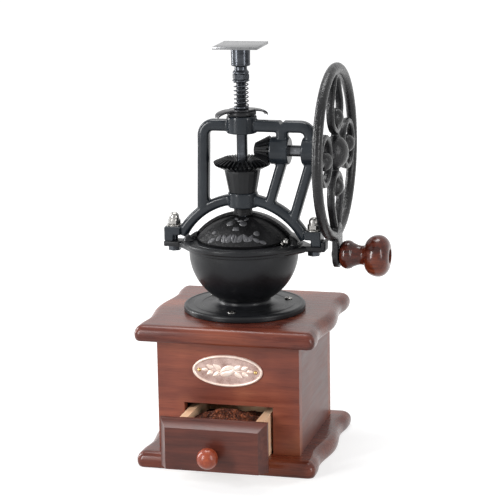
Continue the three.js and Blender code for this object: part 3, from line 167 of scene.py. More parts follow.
def wood(name, stops, along, roughness, coat, shine, pores=0.35, patch=0.5, warm=None, across=230.0):
    """Stained wood: grain streaks along one axis, colour patches and fine dark pores."""
    material, tree, shader = new_material(name, coat_weight=coat, coat_roughness=COAT_ROUGHNESS,
                                          specular_ior_level=shine)
    streak, pore = [across] * 3, [across * PORE_FINENESS] * 3
    streak[along], pore[along] = across / STREAK_STRETCH, across / PORE_STRETCH
    grain = noise_value(tree, object_place(tree, streak), 1.0, 5.0, 0.6, 0.6)
    fine = noise_value(tree, object_place(tree, pore), 1.0, 3.0, 0.6)
    broad = noise_value(tree, object_place(tree), 17.0, 2.0, 0.5, 0.4)
    colour = ramp(tree, weighted(tree, grain, 1 - patch, broad, patch), stops)
    if warm:
        glow = spread(tree, noise_value(tree, object_place(tree), 11.0, 1.0, 0.4, 0.8), 0.5, 0.72)
        colour = mixed(tree, arithmetic(tree, "MULTIPLY", glow, 0.7), colour, warm)
    pore_colour = tuple(0.35 * c for c in stops[0][1])
    colour = mixed(tree, spread(tree, fine, 0.52, 0.72, 0.0, pores), colour, pore_colour)
    rough = spread(tree, grain, 0.3, 0.7, roughness - 0.05, roughness + 0.07)
    feed(tree, shader, colour, rough, weighted(tree, grain, 0.7, fine, -0.5), 0.22, 0.0002)
    return material


def cast(name, dark, light, roughness, pitch, strength, shine, depth=0.0002):
    """Painted cast iron: a pebbled skin with faint dusty patches, and lighter specks on the pebble tops that
    are partly wear and partly a painted glint.
    """
    material, tree, shader = new_material(name, specular_ior_level=shine)
    place = object_place(tree)
    pebble = noise_value(tree, place, pitch, 3.0, 0.6)
    lumps = noise_value(tree, place, pitch / 6, 2.0, 0.5)
    cloud = noise_value(tree, place, 38.0, 3.0, 0.6)
    # Lighter specks where the pebbles rise: partly wear, partly painted glint highlights.
    worn_and_glint = tuple(1.8 * c for c in light)
    colour = mixed(tree, spread(tree, cloud, 0.3, 0.72), dark, light)
    colour = mixed(tree, spread(tree, pebble, 0.55, 0.75, 0.0, 0.35), colour, worn_and_glint)
    share = weighted(tree, pebble, 0.5, cloud, 0.5)
    rough = spread(tree, share, 0.35, 0.65, roughness - 0.07, roughness + 0.09)
    feed(tree, shader, colour, rough, weighted(tree, pebble, 0.6, lumps, 1.0), strength, depth)
    return material


def turned_metal(name, dark, light, roughness, metallic, streak=(60, 60, 2600), strength=0.08):
    """Machined metal with fine turning marks and slight tarnish."""
    material, tree, shader = new_material(name, metallic=metallic)
    marks = noise_value(tree, object_place(tree, streak), 1.0, 4.0, 0.6)
    cloud = noise_value(tree, object_place(tree), 120.0, 3.0, 0.6)
    share = weighted(tree, marks, 0.5, cloud, 0.5)
    rough = spread(tree, share, 0.35, 0.65, roughness - 0.05, roughness + 0.08)
    feed(tree, shader, ramp(tree, share, [(0.36, dark), (0.66, light)]), rough, marks, strength, 0.0001)
    return material


def coffee():
    """Ground coffee: dark and warm specks."""
    material, tree, shader = new_material("ground_coffee", specular_ior_level=0.35)
    place = object_place(tree)
    speck = noise_value(tree, place, 800.0, 3.0, 0.7)
    cloud = noise_value(tree, place, 160.0, 2.0, 0.5)
    stops = [(0.38, (0.008, 0.002, 0.001)), (0.5, (0.075, 0.016, 0.006)), (0.62, (0.42, 0.125, 0.05))]
    colour = ramp(tree, weighted(tree, speck, 0.7, cloud, 0.3), stops)
    feed(tree, shader, colour, spread(tree, speck, 0.3, 0.7, 0.75, 0.45), speck, 0.5, 0.0004)
    return material


# Colour stops of each wood, from dark grain to light

STAIN = [(0.3, (0.085, 0.017, 0.010)), (0.46, (0.165, 0.037, 0.020)), (0.6, (0.235, 0.060, 0.031)),
         (0.76, (0.34, 0.115, 0.062))]
SIDE_STAIN = [(0.3, (0.060, 0.013, 0.009)), (0.48, (0.105, 0.025, 0.016)), (0.72, (0.18, 0.052, 0.031))]
BOARD_STAIN = [(0.3, (0.048, 0.009, 0.006)), (0.5, (0.115, 0.024, 0.014)), (0.72, (0.215, 0.056, 0.030))]
DRAWER_STAIN = [(0.3, (0.045, 0.011, 0.008)), (0.5, (0.092, 0.023, 0.015)), (0.74, (0.17, 0.047, 0.029))]
PALE = [(0.3, (0.86, 0.48, 0.28)), (0.5, (0.92, 0.60, 0.38)), (0.72, (0.94, 0.72, 0.50))]
PLY = [(0.3, (0.42, 0.24, 0.11)), (0.7, (0.62, 0.42, 0.22))]
KNOB_STAIN = [(0.3, (0.15, 0.020, 0.007)), (0.5, (0.28, 0.046, 0.016)), (0.7, (0.42, 0.092, 0.034))]
GRIP_STAIN = [(0.34, (0.018, 0.003, 0.002)), (0.48, (0.085, 0.014, 0.006)), (0.68, (0.20, 0.042, 0.016))]

panel_wood = wood("panel_wood", STAIN, 0, 0.42, 0.06, 0.4, patch=0.6, warm=(0.37, 0.122, 0.052))
side_wood = wood("side_wood", SIDE_STAIN, 1, 0.40, 0.08, 0.4)
board_wood = wood("board_wood", BOARD_STAIN, 0, 0.27, 0.14, 0.28, warm=(0.3, 0.075, 0.032))
drawer_wood = wood("drawer_wood", DRAWER_STAIN, 0, 0.34, 0.12, 0.3, patch=0.4)
pale_wood = wood("pale_wood", PALE, 1, 0.62, 0.0, 0.25, pores=0.12, patch=0.35)
plywood = wood("plywood", PLY, 0, 0.65, 0.0, 0.5, pores=0.2)
knob_wood = wood("knob_wood", KNOB_STAIN, 1, 0.34, 0.3, 0.3, pores=0.3, across=420.0)
grip_wood = wood("grip_wood", GRIP_STAIN, 0, 0.22, 0.36, 0.2, pores=0.6, across=330.0)
black_iron = cast("black_cast_iron", (0.0045, 0.0048, 0.0056), (0.011, 0.0115, 0.0135), 0.33, 1500, 0.26,
                  0.24)
lid_iron = cast("lid_cast_iron", (0.003, 0.003, 0.0035), (0.014, 0.014, 0.015), 0.34, 560, 1.0, 0.15, 0.001)
# The garland shares the door's casting. Its lighter iron is a painted highlight on the raised figures.
relief_iron_painted_highlight = cast("relief_cast_iron", (0.035, 0.035, 0.038), (0.09, 0.09, 0.098), 0.34, 900, 0.6, 0.4,
                   0.0003)
frame_iron = cast("frame_cast_iron", (0.0095, 0.0125, 0.0165), (0.021, 0.0265, 0.033), 0.21, 1700, 0.1, 0.29)
wheel_iron = cast("wheel_cast_iron", (0.004, 0.004, 0.0045), (0.018, 0.018, 0.0195), 0.24, 800, 0.8, 0.3,
                  0.0005)
gear_iron = cast("gear_cast_iron", (0.0045, 0.0047, 0.0053), (0.014, 0.015, 0.017), 0.32, 1500, 0.3, 0.25)
dark_steel = turned_metal("dark_steel", (0.03, 0.033, 0.039), (0.075, 0.081, 0.092), 0.24, 0.8, strength=0.04)
black_steel = turned_metal("black_steel", (0.010, 0.010, 0.012), (0.028, 0.029, 0.032), 0.25, 0.5)
cross_steel = turned_metal("cross_steel", (0.045, 0.047, 0.052), (0.15, 0.155, 0.165), 0.2, 0.9,
                           (2600, 60, 60))
plain_steel = turned_metal("plain_steel", (0.16, 0.162, 0.168), (0.32, 0.325, 0.33), 0.3, 0.9)
plate_steel = turned_metal("plate_steel", (0.15, 0.152, 0.157), (0.22, 0.222, 0.227), 0.24, 0.6,
                           (900, 30, 30), 0.01)
bright_chrome = turned_metal("bright_chrome", (0.24, 0.235, 0.225), (0.34, 0.33, 0.315), 0.24, 1.0,
                             strength=0.0)
# The copper of the rim and relief is made pale, partly from the metal's own colour and partly as a painted
# sheen.
copper_rim = turned_metal("copper_rim", (0.88, 0.66, 0.55), (0.96, 0.84, 0.76), 0.32, 0.25, (500, 500, 500))
copper_field = turned_metal("copper_field", (0.255, 0.141, 0.115), (0.730, 0.547, 0.492), 0.45, 0.25,
                            (1500, 1500, 1500), 0.6)
brass = turned_metal("brass", (0.5, 0.33, 0.12), (0.78, 0.56, 0.25), 0.24, 0.9)
ground_coffee = coffee()


# Geometry in millimetres: a part is a pair of points and faces

def many(parts):
    points, faces = [], []
    for part_points, part_faces in parts:
        start = len(points)
        points.extend(part_points)
        faces.extend([[start + k for k in face] for face in part_faces])
    return points, faces


def rough_solid(name, parts, weld=False):
    """One unfinished object that holds several closed parts."""
    points, faces = many(parts)
    mesh = bpy.data.meshes.new(name)
    mesh.from_pydata([tuple(Vector(point) * MM) for point in points], [], faces)
    made = bmesh.new()
    made.from_mesh(mesh)
    if weld:
        bmesh.ops.remove_doubles(made, verts=made.verts, dist=1e-7)
    bmesh.ops.recalc_face_normals(made, faces=made.faces)
    made.to_mesh(mesh)
    made.free()
    return add_object(name, mesh)


def finish_piece(piece, body, finish, sharp=38):
    """Shades a piece and rides it on its body. One named NODE_form or NODE_dome stands in for that node."""
    mesh = piece.data
    mesh.materials.clear()
    mesh.materials.append(finish)
    mesh.shade_smooth()
    mesh.set_sharp_from_angle(angle=sharp * DEGREE)
    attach(piece, body)
    node, _, ending = piece.name.rpartition("_")
    stands_for = (node,) if ending in ("form", "dome") else ()
    if stands_for:
        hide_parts(*stands_for)


def form(name, part, body, finish, sharp=38):
    """Makes one finished piece from one part."""
    piece = rough_solid(name, [part], weld=True)
    finish_piece(piece, body, finish, sharp)
    return piece


def baked(piece):
    """Applies a piece's modifiers to its mesh."""
    bpy.context.view_layer.update()
    graph = bpy.context.evaluated_depsgraph_get()
    made = bpy.data.meshes.new_from_object(piece.evaluated_get(graph))
    old = piece.data
    piece.modifiers.clear()
    piece.data = made
    made.name = piece.name
    bpy.data.meshes.remove(old)
    return piece


def fused(name, parts, voxel, rounds):
    """Melts overlapping closed parts into one cast body with soft inner corners."""
    piece = rough_solid(name, parts)
    melt = piece.modifiers.new("melt", "REMESH")
    melt.mode = "VOXEL"
    melt.voxel_size = voxel * MM
    soften = piece.modifiers.new("soften", "SMOOTH")
    soften.factor = 0.5
    soften.iterations = rounds
    return baked(piece)


def combined(piece, parts, operation="DIFFERENCE"):
    """Adds or removes closed parts from a piece, one boolean at a time."""
    for index, part in enumerate(parts):
        tool = rough_solid(f"{piece.name}_tool_{index}", [part])
        cut = piece.modifiers.new("cut", "BOOLEAN")
        cut.operation = operation
        cut.solver = "MANIFOLD"
        cut.object = tool
        baked(piece)
        bpy.data.objects.remove(tool, do_unlink=True)


def polar(radius, angle):
    return radius * math.cos(angle), radius * math.sin(angle)


def turned(outline, count=96, closed=False, start=0.0, span=TURN):
    """Turns [radius, height] points about Z. A closed outline is a ring, an open one ends on the axis."""
    whole = span >= TURN - 1e-6
    columns = count if whole else count + 1
    points, rows = [], []
    for radius, height in outline:
        if radius <= 1e-9:
            rows.append([len(points)] * columns)
            points.append((0, 0, height))
            continue
        rows.append([len(points) + k for k in range(columns)])
        points.extend((*polar(radius, start + span * k / count), height) for k in range(columns))
    faces = []
    for low, high in zip(rows, rows[1:] + rows[:1] if closed else rows[1:]):
        for k in range(count):
            after = (k + 1) % columns
            face = [low[k], low[after], high[after], high[k]]
            faces.append(list(dict.fromkeys(face)))
    if not whole:
        faces.append([row[0] for row in rows])
        faces.append([row[-1] for row in rows][::-1])
    return points, [face for face in faces if len(face) > 2]


def rounded(outline, steps=4):
    """Rounds the corners of [x, y, radius] outline points. Points without a radius stay sharp."""
    made = []
    count = len(outline)
    for index, corner in enumerate(outline):
        if len(corner) < 3 or corner[2] <= 0 or index in (0, count - 1):
            made.append((corner[0], corner[1]))
            continue
        here = Vector(corner[:2])
        before = Vector(outline[index - 1][:2]) - here
        after = Vector(outline[index + 1][:2]) - here
        reach = min(corner[2], 0.48 * before.length, 0.48 * after.length)
        first, last = here + before.normalized() * reach, here + after.normalized() * reach
        for step in range(steps + 1):
            share = step / steps
            point = first * (1 - share) ** 2 + here * 2 * share * (1 - share) + last * share ** 2
            made.append((point.x, point.y))
    return made


def ball_outline(radius, centre, low, high, steps):
    from_angle, to_angle = math.asin(low), math.asin(high)
    made = []
    for step in range(steps + 1):
        angle = from_angle + (to_angle - from_angle) * step / steps
        made.append((max(0.0, radius * math.cos(angle)) if abs(math.sin(angle)) < 1 - 1e-9 else 0.0,
                     centre + radius * math.sin(angle)))
    return made


def moved(part, matrix):
    points, faces = part
    return [matrix @ Vector(point) for point in points], faces


def spin(degrees, axis="Z"):
    return Matrix.Rotation(degrees * DEGREE, 4, axis)


def along_x(part, z):
    """Turns a part that stands on Z so that its axis points along +X, at height z."""
    return moved(part, Matrix.Translation((0, 0, z)) @ spin(90, "Y"))


def along_minus_y(part, x, y, z):
    return moved(part, Matrix.Translation((x, y, z)) @ spin(90, "X"))


def lofted(rings, closed=False):
    """Joins rings of equal length. Closed rings meet end to end, others get a cap at each end."""
    count = len(rings[0])
    points = [tuple(point) for ring in rings for point in ring]
    faces = []
    spans = len(rings) if closed else len(rings) - 1
    for ring in range(spans):
        here, there = ring * count, ((ring + 1) % len(rings)) * count
        for side in range(count):
            after = (side + 1) % count
            faces.append([here + side, here + after, there + after, there + side])
    if not closed:
        faces.append(list(range(count))[::-1])
        faces.append([(len(rings) - 1) * count + side for side in range(count)])
    return points, faces


def block(low, high, edge, steps):
    """A box with rounded edges."""
    made = bmesh.new()
    bmesh.ops.create_cube(made, size=1.0)
    size = Vector(high) - Vector(low)
    for vertex in made.verts:
        vertex.co = Vector([low[k] + (vertex.co[k] + 0.5) * size[k] for k in range(3)])
    bmesh.ops.bevel(made, geom=list(made.edges), offset=edge, segments=steps, profile=0.5,
                    affect="EDGES")
    made.verts.ensure_lookup_table()
    points = [tuple(vertex.co) for vertex in made.verts]
    faces = [[vertex.index for vertex in face.verts] for face in made.faces]
    made.free()
    return points, faces


def squarish(angle, power):
    """A point on a rounded square. Power 1 gives the circle."""
    return (math.copysign(abs(math.cos(angle)) ** power, math.cos(angle)),
            math.copysign(abs(math.sin(angle)) ** power, math.sin(angle)))


def band(path, width, thickness, closed=True, sides=16, power=0.6, phase=0.5):
    """A bar of rounded section that follows points [y, z] in the plane x = 0."""
    corners = [squarish((k + phase) / sides * TURN, power) for k in range(sides)]
    section = [(across * width / 2, forward * thickness / 2) for across, forward in corners]
    rings = []
    for k, (y, z) in enumerate(path):
        before = path[k - 1] if closed else path[max(k - 1, 0)]
        after = path[(k + 1) % len(path)] if closed else path[min(k + 1, len(path) - 1)]
        along = (Vector(after) - Vector(before)).normalized()
        rings.append([(forward, y + along.y * across, z - along.x * across) for across, forward in section])
    return lofted(rings, closed)


def swept(path, width, depth):
    """A bar that follows points [x, z] in the plane y = 0."""
    points, faces = band(path, width, depth, closed=False, sides=24, power=0.62)
    return [(x, y, z) for y, x, z in points], faces


def arc(centre_x, centre_z, radius, start, end, steps):
    angles = [start + (end - start) * k / steps for k in range(steps + 1)]
    return [(centre_x + radius * math.cos(angle), centre_z + radius * math.sin(angle)) for angle in angles]


# Boards

BOARD_HALF_WIDTH = 80.0
BOARD_THICKNESS = 14.0
EDGE_INSET = 8.0
EDGE_FOOT_INSET = 3.5
BOARD_CORNER = 6.0
SIDE_BELLY = 2.3
SIDE_SCOOP = 2.1
WAVE_STEPS = 72
CORNER_STEPS = 7
EDGE_FOOT_SHARE = 0.42
TOP_BOARD_BOTTOM = 113.55


def side_wave(share):
    def ease(value):
        return (1 - math.cos(math.pi * min(max(value, 0.0), 1.0))) / 2
    away = abs(share)
    return (SIDE_BELLY - ease(away / 0.6) * (SIDE_BELLY + SIDE_SCOOP)
            + ease((away - 0.6) / 0.3) * SIDE_SCOOP)


def board_ring(depth, inset, z):
    reach = depth / 2 - inset
    radius = BOARD_CORNER - inset / 2
    edge = []
    for k in range(WAVE_STEPS + 1):
        share = -1 + 2 * k / WAVE_STEPS
        edge.append((BOARD_HALF_WIDTH + side_wave(share) - inset, share * (reach - radius)))
    turns = []
    for k in range(1, CORNER_STEPS + 1):
        angle = math.pi / 2 * k / CORNER_STEPS
        turns.append((BOARD_HALF_WIDTH - inset - radius * (1 - math.cos(angle)),
                      reach - radius * (1 - math.sin(angle))))
    right = [(x, -y) for x, y in reversed(turns)] + edge + turns
    left = [(-x, y) for x, y in reversed(right)]
    return [(x, y, z) for x, y in right + left]


def board(name, depth, bottom):
    shape = [(3.6, 0.0), (2.0, 0.25)]
    for k in range(1, 7):
        angle = math.pi / 2 * (1 - k / 6)
        shape.append((EDGE_FOOT_INSET * 0.62 * (1 - math.cos(angle)),
                      EDGE_FOOT_SHARE * (1 - math.sin(angle)) * BOARD_THICKNESS))
    for k in range(1, 13):
        angle = math.pi / 2 * k / 12.6
        shape.append((EDGE_INSET * (1 - math.cos(angle)),
                      (EDGE_FOOT_SHARE + (1 - EDGE_FOOT_SHARE) * math.sin(angle)) * BOARD_THICKNESS))
    shape += [(EDGE_INSET, BOARD_THICKNESS - 0.1), (EDGE_INSET + 0.5, BOARD_THICKNESS),
              (EDGE_INSET + 1.4, BOARD_THICKNESS)]
    rings = [board_ring(depth, inset, bottom + height) for inset, height in shape]
    form(f"{name}_form", lofted(rings), "cabinet", board_wood, 30)


board("base_board", 160.0, 0.0)
board("top_board", 156.0, TOP_BOARD_BOTTOM)


# Cabinet panels, drawer box, gears and burrs keep their CAD meshes, with softened edges

def add_bevel(piece, width, limit):
    edge = piece.modifiers.new("edge", "BEVEL")
    edge.width = width * MM
    edge.segments = 2
    edge.limit_method = "ANGLE"
    edge.angle_limit = limit * DEGREE


for node, finish, width in (
    ("cabinet_front_panel", panel_wood, 0.5), ("cabinet_back_panel", panel_wood, 0.5),
    ("cabinet_left_panel", side_wood, 0.4), ("cabinet_right_panel", side_wood, 0.4),
    ("drawer_guide_left", pale_wood, 0.4), ("drawer_guide_right", pale_wood, 0.4),
    ("drawer_left_side", pale_wood, 0.5), ("drawer_right_side", pale_wood, 0.5),
    ("drawer_back", pale_wood, 0.5), ("drawer_bottom", plywood, 0.2),
    ("drawer_knob_screw", plain_steel, 0.3), ("ring_burr", plain_steel, 0.2),
    ("cone_burr", plain_steel, 0.2), ("burr_nut", plain_steel, 0.4),
    ("frame_bolt_left", dark_steel, 0.3), ("frame_bolt_right", dark_steel, 0.3),
    ("pinion_pin", plain_steel, 0.2), ("driven_bevel_gear", gear_iron, 0.22),
    ("bevel_pinion", gear_iron, 0.2),
):
    made = bpy.data.objects[node]
    made.data.materials.clear()
    made.data.materials.append(finish)
    add_bevel(made, width, 30)


# Plaque with a raised rim, a coffee bean between two sprigs, and its pins

PLAQUE_HALF = (31.3, 14.2)
PLAQUE_Z = 87.2
PLAQUE_BACK_Y = -61.55
PLAQUE_RIM_WIDTH = 2.3
PLAQUE_FIELD = 1.15
PLAQUE_SHAPE = [(0.0, 0.0), (0.0, 0.9), (0.22, 1.5), (0.65, 1.95), (1.2, 2.1), (1.75, 1.98), (2.15, 1.62),
                (2.35, 1.3), (2.7, 1.16), (3.6, PLAQUE_FIELD), (6.0, PLAQUE_FIELD), (10.0, PLAQUE_FIELD)]
PATCH_SUNK = 0.25
PIN_X = 25.2


def plaque():
    rings = []
    count = 128
    for inset, height in PLAQUE_SHAPE:
        rings.append([((PLAQUE_HALF[0] - inset) * math.cos(TURN * k / count), PLAQUE_BACK_Y - height,
                       PLAQUE_Z + (PLAQUE_HALF[1] - inset) * math.sin(TURN * k / count))
                      for k in range(count)])
    piece = form("plaque_form", lofted(rings), "cabinet", copper_rim, 50)
    piece.data.materials.append(copper_field)
    for face in piece.data.polygons:
        centre = face.center / MM
        away = math.hypot(centre.x / (PLAQUE_HALF[0] - PLAQUE_RIM_WIDTH),
                          (centre.z - PLAQUE_Z) / (PLAQUE_HALF[1] - PLAQUE_RIM_WIDTH))
        if away < 1 and centre.y < PLAQUE_BACK_Y - 0.5:
            face.material_index = 1


def patch(width, length, rise, shape, around=28, across=8):
    """A closed raised patch in the XY plane. Its shape is an outline by angle and the height of its crown."""
    outline, height = shape
    points, faces = [], []
    for ring in range(1, across + 1):
        share = ring / across
        for k in range(around):
            u, v = outline(TURN * k / around)
            u, v = u * share, v * share
            z = rise * height(u, v, share) if ring < across else -PATCH_SUNK
            points.append((u * width, v * length, z))
    centre = len(points)
    points.append((0, 0, rise * height(0, 0, 0)))
    for k in range(around):
        after = (k + 1) % around
        faces.append([centre, k, after])
        for ring in range(across - 1):
            a, b = ring * around, (ring + 1) * around
            faces.append([a + k, b + k, b + after, a + after])
    faces.append([(across - 1) * around + k for k in range(around)][::-1])
    return points, faces


def oval(angle):
    return math.cos(angle), math.sin(angle)


def leaf_outline(angle):
    return math.sin(angle) * abs(math.sin(angle)) ** 0.2 * (1 - 0.35 * math.cos(angle)), math.cos(angle)


def block_outline(angle):
    return squarish(angle, 0.45)


def dome(u, v, share):
    return math.sqrt(max(0.0, 1 - share ** 2.4))


def bean_crown(u, v, share):
    crease = math.exp(-((u - 0.16 * math.sin(3.4 * v)) / 0.10) ** 2) * (1 - share ** 4)
    return dome(u, v, share) * (1 - 0.62 * crease)


def leaf_crown(u, v, share):
    rib = math.exp(-(u / 0.12) ** 2)
    veins = 0.10 * math.cos(14 * (v + abs(u) * 0.9))
    return math.sqrt(max(0.0, 1 - share ** 2.2)) * (0.72 + 0.3 * rib + veins * (1 - rib))


BEAN, LEAF, BEAD, TILE = ((oval, bean_crown), (leaf_outline, leaf_crown), (oval, dome), (block_outline, dome))


def on_plaque(part, x, z, turn):
    return along_minus_y(moved(part, spin(turn)), x, PLAQUE_BACK_Y - PLAQUE_FIELD, PLAQUE_Z + z)


def plaque_relief():
    """The bean, and on each side a sprig of five leaves on a wavy stem."""
    parts = [on_plaque(patch(4.9, 7.6, 0.92, BEAN, 40, 12), 0, 0, -62)]
    for side in (-1, 1):
        for x, z, turn, width, length in (
            (9.2, 3.4, -58, 2.3, 4.1), (9.8, -3.3, -122, 2.3, 4.0), (15.6, 3.2, -66, 2.0, 3.6),
            (15.9, -2.5, -118, 2.0, 3.4), (20.4, 0.5, -90, 1.6, 3.0),
        ):
            parts.append(on_plaque(patch(width, length, 0.85, LEAF), side * x, z, side * turn))
        rings = []
        for k in range(13):
            x, z = side * (6.2 + 1.0 * k), 0.4 * math.sin(k * 0.4)
            rings.append([(x, PLAQUE_BACK_Y - 1.1 - 0.6 * max(0.0, math.sin(TURN * j / 10)),
                           PLAQUE_Z + z + 0.42 * math.cos(TURN * j / 10)) for j in range(10)])
        parts.append(lofted(rings))
    form("plaque_relief", many(parts), "cabinet", copper_rim, 50)


plaque()
plaque_relief()
for word, side in (("left", -1), ("right", 1)):
    pin = turned([(0, 0), (1.6, 0)] + ball_outline(1.75, 1.5, 0.2, 1.0, 8))
    pin = along_minus_y(pin, side * PIN_X, PLAQUE_BACK_Y + 0.6, PLAQUE_Z)
    form(f"plaque_pin_{word}_dome", pin, "cabinet", brass)


# Drawer front, knob and ground coffee

DRAWER_BACK_Y = -106.0
DRAWER_EDGE = 4.0
DRAWER_HALF = 47.0
DRAWER_LOW = 14.3
DRAWER_HIGH = 57.9
MOULDING = (6.2, 8.5)
DRAWER_FACE_Y = -118.5
KNOB_Z = 30.5


def drawer_front():
    def ring(inset, y, foot=0.0):
        left, right = inset - DRAWER_HALF, DRAWER_HALF - inset
        low, high = DRAWER_LOW + foot, DRAWER_HIGH - inset
        return [(left, y, low), (right, y, low), (right, y, high), (left, y, high)]
    edge_y = DRAWER_BACK_Y - DRAWER_EDGE
    rings = [ring(0.5, DRAWER_BACK_Y, 0.3), ring(0.12, DRAWER_BACK_Y - 0.15, 0.1),
             ring(0, DRAWER_BACK_Y - 0.5), ring(0, edge_y + 0.4), ring(0.12, edge_y)]
    for k in range(1, 11):
        share = k / 10
        rings.append(ring(0.12 + MOULDING[0] * share, edge_y - MOULDING[1] * share ** 1.35, 0.3 * share ** 3))
    rings.append(ring(MOULDING[0] + 0.6, DRAWER_FACE_Y, 0.4))
    form("drawer_front_form", lofted(rings), "drawer", drawer_wood, 24)


drawer_front()
knob = rounded([(0, 0), (4.9, 0, 0.4), (4.4, 1.2, 0.6), (4.3, 2.6, 0.8), (6.2, 3.6, 0.5), (6.6, 4.2, 0.4)])
knob += ball_outline(9.0, 12.0, -0.72, 1.0, 28)
knob = along_minus_y(turned(knob, 72), 0, DRAWER_FACE_Y - SEAT, KNOB_Z)
form("drawer_knob_form", knob, "drawer", knob_wood, 40)

HEAP_X = 29.9
HEAP_Y = (-104.6, -13.8)
HEAP_FLOOR = 17.6
HEAP_EDGE_Z = 36.0
HEAP_RISE = 16.5
HEAP_CENTRE = (1.0, -70.0)
HEAP_SPREAD = (34.0, 30.0)
HEAP_LUMPS = ((0.11, 3.7, 1.6), (0.62, 9.1, 0.65))
GRAIN_COUNT = 5200
GRAIN_Y = (-103.5, -24.0)
GRAIN_SIZE = (0.4, 0.95)
GRAIN_CORNERS = [(1, 1, 1), (-1, -1, 1), (-1, 1, -1), (1, -1, -1), (0.2, 0.3, 1.5), (1.3, -0.3, 0.2)]
GRAIN_FACES = [(0, 4, 1), (0, 5, 4), (5, 3, 4), (3, 1, 4), (0, 1, 2), (0, 2, 5), (2, 3, 5), (1, 3, 2)]


def heap_height(x, y):
    away = [(value - middle) / reach for value, middle, reach in zip((x, y), HEAP_CENTRE, HEAP_SPREAD)]
    mound = math.exp(-away[0] ** 2 - away[1] ** 2)
    lumps = [noise.noise(Vector((x * pitch, y * pitch, seed))) * size for pitch, seed, size in HEAP_LUMPS]
    return HEAP_EDGE_Z + HEAP_RISE * mound + sum(lumps)


def coffee_heap():
    columns, rows = 90, 130
    rings = []
    for row in range(rows + 1):
        y = HEAP_Y[0] + (HEAP_Y[1] - HEAP_Y[0]) * row / rows
        across = [-HEAP_X + 2 * HEAP_X * column / columns for column in range(columns + 1)]
        rings.append([(x, y, heap_height(x, y)) for x in across]
                     + [(HEAP_X, y, HEAP_FLOOR), (-HEAP_X, y, HEAP_FLOOR)])
    form("coffee_heap", lofted(rings), "drawer", ground_coffee, sharp=80)


def coffee_grains():
    rolls = random.Random(11)
    grains = []
    for _ in range(GRAIN_COUNT):
        x = rolls.uniform(-HEAP_X + 0.7, HEAP_X - 0.7)
        y = rolls.uniform(*GRAIN_Y)
        size = rolls.uniform(*GRAIN_SIZE)
        angle = rolls.uniform(0, TURN)
        turn = Matrix.Rotation(angle, 3, Vector((rolls.uniform(-1, 1), rolls.uniform(-1, 1), 1)))
        centre = Vector((x, y, heap_height(x, y) + size * 0.35))
        grains.append(([centre + turn @ (Vector(corner) * size) for corner in GRAIN_CORNERS], GRAIN_FACES))
    form("coffee_grains", many(grains), "drawer", ground_coffee, sharp=20)


coffee_heap()
coffee_grains()


# Hopper bowl: flange, neck, bowl, rim, ears, and the two stops on the rim beside the lid

FLANGE_LOW = 127.6
FLANGE_TOP = 133.2
BOWL_RADIUS = 48.3
BOWL_WALL = 4
BOWL_CENTRE = 180.4
NECK_TOP = FLANGE_TOP + 5.1
RIM_TOP = 190.0
BOLT_X = 63.5
EAR_TOP = 187.4
EAR_LOW = EAR_TOP - 5
EAR_HALF = 7.5
GUSSET_PLAN = [(42.0, -27.0), (50.5, -17.0), (58.6, -7.0), (58.6, 7.0), (50.5, 17.0), (42.0, 27.0)]
GUSSET_LEVELS = ((181.2, 0.80), (182.6, 0.93), (184.0, 0.99), (186.4, 1.0), (187.3, 0.965))
STOP_RADIUS = 48.0
STOP_REACH = 4.6
STOP_LENGTH = 10.2
STOP_SHAPE = ((5.6, 0.0), (5.1, 1.4), (2.9, 5.0), (1.2, 5.7), (-1.0, 4.3), (-4.3, 1.2), (-4.6, -0.4),
              (4.9, -0.4))
STOP_SLICES = ((-2.7, -3.6, 4.9, 0.88), (-2.2, -4.4, 5.4, 0.98), (-0.6, -4.6, 5.6, 1.0),
               (1.2, -4.6, 5.5, 0.85), (2.6, -4.4, 5.2, 0.5), (4.4, 0.7, 4.4, 0.12))
STOPS = ((1, -165.0), (-1, -15.0))
SCREW_DEGREES = (-92, 28, 148)
SCREW_CIRCLE = 40
SCREW_TURN = 0.5


def bowl_outline():
    outline = rounded([
        (17.3, FLANGE_LOW), (53.7, FLANGE_LOW, 0.4), (54.0, FLANGE_LOW + 0.8, 0.5),
        (54.0, FLANGE_TOP - 1.2, 1.2), (52.4, FLANGE_TOP, 0.9), (50.6, FLANGE_TOP, 0.4),
        (50.2, FLANGE_TOP - 0.35, 0.3), (45.0, FLANGE_TOP - 0.3, 0.2), (44.7, FLANGE_TOP - 0.05, 0.2),
        (38.0, FLANGE_TOP, 0.2), (37.7, FLANGE_TOP - 0.25, 0.2), (29.5, FLANGE_TOP - 0.1, 0.6),
        (24.4, FLANGE_TOP + 0.9, 1.8), (23.0, FLANGE_TOP + 3.4, 1.4), (23.6, NECK_TOP),
    ])
    outline += ball_outline(BOWL_RADIUS, BOWL_CENTRE, (NECK_TOP - BOWL_CENTRE) / BOWL_RADIUS, 0.02, 44)[1:]
    outline += rounded([
        (BOWL_RADIUS, 181.6), (48.3, 182.7, 0.5), (50.0, 183.0, 0.4), (50.0, 185.3, 0.3), (51.2, 185.5, 0.4),
        (52.0, 186.3, 0.6), (52.0, 189.2, 0.7), (51.2, RIM_TOP, 0.6), (47.8, RIM_TOP, 0.4),
        (47.5, RIM_TOP - 0.6, 0.3), (44.9, RIM_TOP - 0.6, 0.3), (44.6, RIM_TOP, 0.3), (39.3, RIM_TOP, 0.5),
        (38.8, RIM_TOP - 0.6, 0.5), (38.8, 185.4, 0.4), (43.9, 181.4),
    ])
    inner = BOWL_RADIUS - BOWL_WALL
    outline += ball_outline(inner, BOWL_CENTRE, 0.02, (147.6 - BOWL_CENTRE) / inner, 22)
    return outline + [(17.3, 143.6)]


